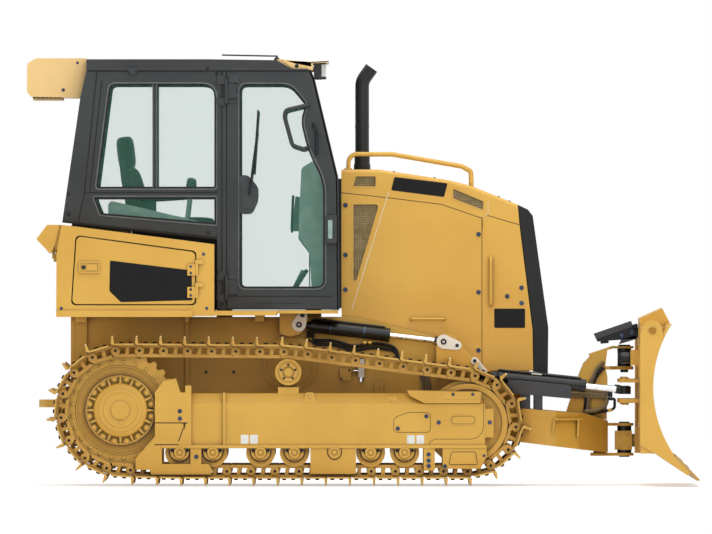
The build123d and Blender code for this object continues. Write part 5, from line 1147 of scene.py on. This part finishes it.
def chassis_trim(side_name, side):
    """Covers, valve box, link and hoses on the chassis side, behind the track and the lift cylinder."""
    face = side * CHASSIS_HALF
    out = (0, side, 0)
    cover = Shape("frame_enamel")
    x, z = DRIVE_COVER
    cover.hoop((x, face + side * 8, z), out, 150, 172, 6, 56)
    ring_of_bolts(cover, DRIVE_COVER, face + side * 8, side, 160, DRIVE_COVER_BOLTS, 8)
    cover.side(rounded(rect(75, 132, 598, 676), 8), face, face + side * 20)
    cover.bolt((103, face + side * 20, 640), out, 11)
    cover.side(rounded([(-552, 1096), (-458, 1096), (-458, 1030), (-552, 1012)], 20), face, face + side * 6)
    cover.build("chassis_cover_" + side_name, "chassis", 1.0)

    box = Shape("frame_enamel", "black_bolt")
    box.side(rounded(rect(-150, -76, 680, 760), 8), face, face + side * 24)
    box.use(1)
    for x, z in ((-138, 692), (-88, 748)):
        box.bolt((x, face + side * 24, z), out, 6)
    for x in (-1018, -838):
        box.bolt((x, face, 735), out, 8)
    box.build("chassis_box_" + side_name, "chassis", 0.8)

    link = Shape("rod_chrome", "pale_primer")
    y = face + side * 14
    for z in (672, 812):
        link.rod((-10, y, z), (-10, y, z + 40), 13, 6)
    for z in (742, 778):
        link.rod((-62, y, z), (-22, y, z), 9, 6)
    link.use(1)
    link.side(rounded(rect(-30, 8, 700, 820), 6), face, face + side * 26)
    link.build("chassis_link_" + side_name, "chassis")

    hoses = Shape("black_rubber", "brass_fitting", "hose_braid")
    y_in, y_out = face + side * 13, face + side * 16
    for shift in (0, 26):
        route = [(-352 + shift, y_in, 1000), (-352 + shift, y_in, 940 - shift), (-180, y_out, 940 - shift),
                 (-60, y_in, 895 - shift), (60, y_in, 925 - shift), (215, y_in, 900 - shift),
                 (235, y_in, 800)]
        hoses.tube(bent(route, 60), 10)
    hoses.use(1)
    hoses.rod((-372, y_in, 955), (-330, y_in, 951), 11, 6)
    for x in (2, 34):
        hoses.rod((x, y_in, 922), (x + 22, y_in, 921), 12, 6)
    hoses.use(2)
    for x in (386, 408, 430):
        route = [(x, y_in, 596), (x + 4, y_in, 650), (x - 10, y_in, 700), (x - 10, y_in, 742)]
        hoses.tube(bent(route, 40), 8)
    hoses.build("chassis_hoses_" + side_name, "chassis")


def teardrop(x_a, z_a, r_a, x_b, z_b, r_b, steps=14):
    """Outline round two circles of a side view."""
    span = math.hypot(x_b - x_a, z_b - z_a)
    way = math.atan2(z_b - z_a, x_b - x_a)
    lean = math.acos((r_a - r_b) / span)
    back = [way + lean + (2 * math.pi - 2 * lean) * index / steps for index in range(steps + 1)]
    front = [way - lean + 2 * lean * index / steps for index in range(steps + 1)]
    return ([around((x_a, z_a), r_a, angle) for angle in back]
            + [around((x_b, z_b), r_b, angle) for angle in front])


def hard_line(shape, start, way, near, far, foot, stand):
    """Steel line beside a barrel, between its two ports near and far along it."""
    ports = (start + way * near, start + way * far)
    shape.tube(bent([ports[0] + foot, ports[0] + stand, ports[1] + stand, ports[1] + foot], 16), 7)


LIFT_HEAD_PIN = (-392, 1103)           # upper pin of the clevis at a lift cylinder's head
LIFT_EYE_PIN = (610, 908)              # second pin of the plate at its eye
LIFT_HOLE = (724, 809)                 # hole of the plate below


def lift_trim(side_name, side):
    """Primed clevis plates and pins of a lift cylinder, its gland, bands and hard line."""
    outer, out = side * ARM_OUTER, (0, side, 0)
    face = outer + side * 6

    def on(pin, y):
        """A pin's middle at a depth across the machine."""
        return (pin[0], y, pin[1])

    head = Shape("pale_primer", "black_bolt")
    head.side(teardrop(*LIFT_HEAD, 45, *LIFT_HEAD_PIN, 30), outer, face)
    head.use(1)
    head.hoop(on(LIFT_HEAD, face), out, 9, 19, 4)
    head.turned((LIFT_HEAD_PIN[0], outer + side * 5, LIFT_HEAD_PIN[1] + 2), out, ((0, 15), (3, 15)), 20)
    head.build("lift_clevis_" + side_name, "chassis", 0.8)

    eye = Shape("pale_primer", "black_bolt")
    eye.side(teardrop(*LIFT_EYE, 46, *LIFT_EYE_PIN, 30), outer, face)
    eye.hoop(on(LIFT_EYE_PIN, face), out, 12, 22, 2, 28)
    eye.side(teardrop(*LIFT_HOLE, 24, 792, 742, 14), outer, outer + side * 5)
    eye.use(1)
    eye.hoop(on(LIFT_EYE, face), out, 9, 19, 4)
    eye.turned(on(LIFT_EYE_PIN, face), out, ((0, 12), (1, 12)), 20)
    eye.turned(on(LIFT_HOLE, outer + side * 5), out, ((0, 11), (2, 11)), 20)
    eye.build("lift_eye_plate_" + side_name, "c_frame", 0.8)

    way = Vector((LIFT_EYE[0] - LIFT_HEAD[0], 0, LIFT_EYE[1] - LIFT_HEAD[1])).normalized()
    up = Vector((-way.z, 0, way.x))
    start = Vector((LIFT_HEAD[0], side * LIFT_Y, LIFT_HEAD[1]))
    trim = Shape("black_gloss", "black_rubber", "zinc_bolt")
    trim.turned(start + way * 566, way, ((0, 46), (24, 46), (27, 43)), 40)
    trim.turned(start + way * 76, way, ((0, 45), (30, 45), (33, 43)), 40)
    hard_line(trim, start, way, 92, 556, up * 30, up * 49 + Vector((0, -side * 6, 0)))
    trim.use(2)
    for along in (200, 420):
        trim.turned(start + way * along, way, ((0, 43.5), (12, 43.5)), 40)
    trim.use(1)
    trim.turned(start + way * 589, way, ((0, 24), (4, 24), (6, 21.5)), 32)
    trim.build("lift_barrel_trim_" + side_name, "lift_barrel_" + side_name, 0.6)


def angle_trim(side_name, side):
    """Gland, end band and hard line of an angle cylinder, and its primed port plate."""
    start = Vector((ANGLE_HEAD[0], side * ANGLE_HEAD[1], ANGLE_HEAD[2]))
    end = Vector((ANGLE_EYE[0], side * ANGLE_EYE[1], ANGLE_EYE[2]))
    way = (end - start).normalized()
    up = Vector((-way.z, 0, way.x)).normalized()
    trim = Shape("black_gloss", "black_rubber", "pale_primer")
    trim.turned(start + way * 632, way, ((0, 44), (24, 44), (27, 41)), 40)
    trim.turned(start + way * 60, way, ((0, 42.5), (26, 42.5), (29, 40.5)), 40)
    hard_line(trim, start, way, 84, 622, up * 30, up * 47)
    trim.use(1)
    trim.turned(start + way * 656, way, ((0, 24), (4, 24), (6, 21.5)), 32)
    trim.use(2)
    trim.side([(1092, 722), (1160, 716), (1160, 724), (1092, 730)], side * 452, side * 470)
    trim.build("angle_barrel_trim_" + side_name, "angle_barrel_" + side_name, 0.6)


BEND_X, BEND_END_X = 1250, 1400        # where the arms turn inward, and where they stop
NOSE_HALF = 430                        # the arms' outer face at that end
FRAME_PIVOT = (90, 450)                # trunnion of the push frame


def push_frame_trim(side_name, side):
    """Step, bolts and pivot collar of the push frame."""
    def face_y(x):
        """Outer face of the arm at a place along it."""
        bend = max(0, x - BEND_X) * (ARM_OUTER - NOSE_HALF) / (BEND_END_X - BEND_X)
        return side * (ARM_OUTER - bend)

    step = Shape("frame_enamel")
    top = [(1240, ARM_OUTER), (BEND_X, ARM_OUTER), (BEND_END_X, NOSE_HALF), (1412, 421), (1430, 438),
           (1262, 560), (1240, 560)]
    step.prism([(x, side * y, 422) for x, y in top], (0, 0, 14))
    for x_low, x_high, foot in ((1232, 1246, 330), (1392, 1406, 312)):
        face = face_y(x_low)
        step.side([(x_low - 6, foot), (x_low + 6, foot), (x_high, 424), (x_low, 424)],
                  face - side * 4, face + side * 24)
    step.build("frame_step_" + side_name, "c_frame", 1.5)

    bolts = Shape("zinc_bolt", "frame_enamel")
    for x, z in ((960, 640), (1310, 620)):
        bolts.bolt((x, side * ARM_OUTER, z), (0, side, 0), 9)
    bolts.use(1)
    x, z = FRAME_PIVOT
    bolts.hoop((x, side * (ARM_OUTER + 1), z), (0, side, 0), 52, 84, 4, 48)
    bolts.build("frame_bolts_front_" + side_name, "c_frame", 0.6)


HOSE_Y = -126                          # plane of the hoses beside the tower


def nose_trim():
    """Cap of the tower's pin, trunnion bolts, and the hoses on the side of the tilt cylinder."""
    cap = Shape("black_bolt")
    cap.turned((TILT_X, 0, 903), (0, 0, 1), ((0, 40), (6, 40), (9, 34)), 32)
    cap.build("tower_pin_cap", "c_frame", 0.6)
    block = Shape("frame_enamel")
    for z in (244, 336):
        for x in (1662, 1722):
            block.bolt((x, -56, z), (0, -1, 0), 9)
    block.build("trunnion_bolts", "blade_pivot", 0.6)

    hoses = Shape("black_rubber", "hose_braid", "brass_fitting", "black_bolt")
    for shift in (0, 24):
        route = [(1440 + shift, -120, 476), (1452 + shift, -122, 600), (1490 + shift, -124, 700),
                 (1540 + shift / 2, -124, 752), (1556 + shift / 2, -120, 758)]
        hoses.tube(bent(route, 110), 9)
    hoses.use(1)
    for z in (574, 596, 612):
        hoses.tube(bent([(1352, -124, z + 4), (1500, -128, z), (1602, HOSE_Y, z - 12)], 120), 8)
    hoses.use(3)
    for z in (562, 584, 600):
        hoses.rod((1590, HOSE_Y, z), (1622, HOSE_Y, z - 3), 11, 6)
    hoses.use(0)
    route = [(1612, HOSE_Y, 560), (1636, HOSE_Y, 560), (1636, HOSE_Y, 498), (1600, HOSE_Y, 484),
             (1500, HOSE_Y, 470), (1450, -122, 452)]
    hoses.tube(bent(route, 34), 9)
    hoses.use(2)
    hoses.rod((1592, HOSE_Y, 483), (1618, HOSE_Y, 490), 11, 6)
    hoses.build("tower_hoses", "c_frame")


def tilt_trim():
    """Gland, end band and hard line of the tilt cylinder."""
    out = (0, -1, 0)
    trim = Shape("black_gloss", "black_rubber")
    trim.turned((TILT_X, -236, TILT_Z), out, ((0, 37), (20, 37), (22, 35)), 36)
    trim.turned((TILT_X, -66, TILT_Z), out, ((0, 36.5), (18, 36.5), (20, 34.5)), 36)
    route = [(TILT_X - 24, -90, TILT_Z + 12), (TILT_X - 40, -90, TILT_Z + 20),
             (TILT_X - 40, -234, TILT_Z + 20), (TILT_X - 24, -234, TILT_Z + 12)]
    trim.tube(bent(route, 10), 6)
    trim.use(1)
    trim.turned((TILT_X, -256, TILT_Z), out, ((0, 22), (4, 22), (6, 19)), 28)
    trim.build("tilt_barrel_trim", "tilt_barrel", 0.5)


# ------------------------------------------------------------------- blade
EDGE_SEAT = Vector((2004, 0, 193))     # top of the cutting edge's back
EDGE_SLOPE = Vector((158, 0, -165)).normalized()
EDGE_FRONT = Vector((-EDGE_SLOPE.z, 0, EDGE_SLOPE.x))
EDGE_THICK, EDGE_HIGH = 20, 226
EDGE_BOLTS, EDGE_BOLT_PITCH = 18, 160
EDGE_JOINT_Y = 880
GUARD_HALF = 100                       # half width of the box over the tower


def blade_trim():
    """Bolts and joints of the cutting edge, hole rims, welds, and what is on the guard box."""
    bolts = Shape("zinc_bolt", "black_rubber")
    for index in range(EDGE_BOLTS):
        y = (index - (EDGE_BOLTS - 1) / 2) * EDGE_BOLT_PITCH
        for along in (46, 104):
            at = EDGE_SEAT + EDGE_FRONT * EDGE_THICK + EDGE_SLOPE * along
            bolts.turned((at.x, y, at.z), EDGE_FRONT, ((-1, 15), (1.5, 15), (3, 12)), 20)
    bolts.use(1)
    top = EDGE_SEAT + EDGE_FRONT * (EDGE_THICK + 0.2)
    corners = [top, top + EDGE_SLOPE * EDGE_HIGH]
    corners += [corner - EDGE_FRONT * 3 for corner in reversed(corners)]
    for y in (-EDGE_JOINT_Y, EDGE_JOINT_Y):
        bolts.side([(corner.x, corner.z) for corner in corners], y - 1.5, y + 1.5)
    bolts.build("edge_bolts", "blade")

    rims = Shape("frame_enamel")
    weld = [(1790, 988), (1790, 268), (1797, 262), (1797, 992)]
    for side in (-1, 1):
        rims.hoop((1865, side * (BLADE_HALF - 1), 1008), (0, side, 0), 26, 33, 3, 40)
        rims.side(weld, side * (BLADE_HALF - 30), side * (BLADE_HALF - 22))
    rims.build("blade_rims", "blade", 0.6)

    guard = Shape("zinc_bolt", "guard_grey", "black_rubber", "black_bolt")
    for x, z in ((1682, 967), (1749, 990)):
        for side in (-1, 1):
            guard.bolt((x, side * GUARD_HALF, z), (0, side, 0), 13)
    guard.use(1)
    lid = rounded([(1506, 978), (1742, 1060), (1752, 1030), (1516, 948)], 5)
    guard.side(lid, -GUARD_HALF - 2, -GUARD_HALF)
    guard.side([(1664, 914), (1676, 944), (1782, 976), (1780, 950)], -GUARD_HALF, 12 - GUARD_HALF)
    guard.use(2)
    for y in (-60, -20, 20, 60):
        guard.rod((1742, y, 1000), (1776, y, 1012), 10, 16)
    guard.use(3)
    guard.turned((1765, -74, 1030), (0, -1, 0), ((0, 16), (14, 16), (18, 12)), 20)
    guard.rod((1752, -74, 1028), (1785, -74, 1040), 13, 6)
    guard.build("guard_box_trim", "blade", 0.8)


# -------------------------------------------------------- camera and light
CAMERA_PLACE, CAMERA_LENS = (-0.045, -150.0, 1.417), 1166
# Two large soft boxes: place, aim, size and power of one over the machine and one at its front right.
LAMPS = (("top_box", (0, -2.5, 9), (0, 0, 0.5), 8, 500), ("side_box", (3, -12, 7), (0, 0, 1), 6, 250))


def placed(name, data, place=(0, 0, 0)):
    """Adds an object that is no piece of the machine."""
    made = bpy.data.objects.new(name, data)
    made.location = place
    bpy.context.scene.collection.objects.link(made)
    return made


def plus(tree, a, b, **settings):
    """Sum of two numbers."""
    return node(tree, "Math", {0: a, 1: b}, operation="ADD", **settings).outputs["Value"]


def seen(tree):
    """1 for what the camera, glass and shiny metal see, 0 for the light that falls on the machine."""
    rays = node(tree, "LightPath").outputs
    glossy = plus(tree, rays["Is Camera Ray"], rays["Is Glossy Ray"])
    return plus(tree, glossy, rays["Is Transmission Ray"], use_clamp=True)


def studio_world():
    """White round the horizon, dimmer overhead, so that the lamps shape the forms."""
    world = bpy.data.worlds.new("studio")
    world.use_nodes = True
    tree = world.node_tree
    height = node(tree, "SeparateXYZ", {"Vector": node(tree, "TexCoord").outputs["Generated"]}).outputs["Z"]
    level = node(tree, "Math", {0: height}, operation="ABSOLUTE").outputs["Value"]
    dome = grey(tree, level, 1.0, 0.42, 0.1, 0.4)
    strength = node(tree, "Math", {0: dome, 1: seen(tree)}, operation="MAXIMUM").outputs["Value"]
    back = tree.nodes["Background"]
    back.inputs["Color"].default_value = (1, 1, 1, 1)
    tree.links.new(strength, back.inputs["Strength"])
    bpy.context.scene.world = world


def studio_floor():
    """Matt white floor that the eye sees brighter than the machine does."""
    mesh = bpy.data.meshes.new("floor")
    mesh.from_pydata([(-60, -60, 0), (60, -60, 0), (60, 40, 0), (-60, 40, 0)], [], [(0, 1, 2, 3)])
    floor = placed("floor", mesh, (0, 0, -0.002))
    tree, shader = blank_material("studio_floor", 0.7)
    shader.inputs["Emission Color"].default_value = (1, 1, 1, 1)
    feed(tree, shader, Base_Color=ramp(tree, noise(tree, 2500, 2), linear("#F6F5F3"), linear("#FAFAF9")),
         Emission_Strength=grey(tree, seen(tree), 0.0, 0.5, 0.0, 1.0))
    mesh.materials.append(MATERIALS["studio_floor"])


def camera_and_light():
    """Long lens square to the near side, the white world, two soft boxes and the floor."""
    camera = bpy.data.cameras.new("camera")
    camera.lens, camera.sensor_width = CAMERA_LENS, 36
    camera.clip_end = 400
    holder = placed("camera", camera, CAMERA_PLACE)
    holder.rotation_euler = (math.radians(90), 0, 0)
    bpy.context.scene.camera = holder
    bpy.context.scene.view_settings.view_transform = "Standard"
    studio_world()
    for name, place, aim, size, power in LAMPS:
        lamp = bpy.data.lights.new(name, "AREA")
        lamp.shape, lamp.size, lamp.energy = "SQUARE", size, power
        stand = placed(name, lamp, place)
        stand.rotation_euler = (Vector(aim) - Vector(place)).to_track_quat("-Z", "Y").to_euler()
    studio_floor()


dress_nodes()
for side_name, side in SIDES:
    chain(side_name, side)
    drive_trim(side_name, side)
    frame_trim(side_name, side)
    box_trim(side_name, side)
    cab_trim(side_name, side)
    door_trim(side_name, side)
    hood_trim(side_name, side)
    chassis_trim(side_name, side)
    lift_trim(side_name, side)
    angle_trim(side_name, side)
    push_frame_trim(side_name, side)
lamp_trim()
roof_trim()
grille_trim()
seat()
cab_inside()
nose_trim()
tilt_trim()
blade_trim()
camera_and_light()
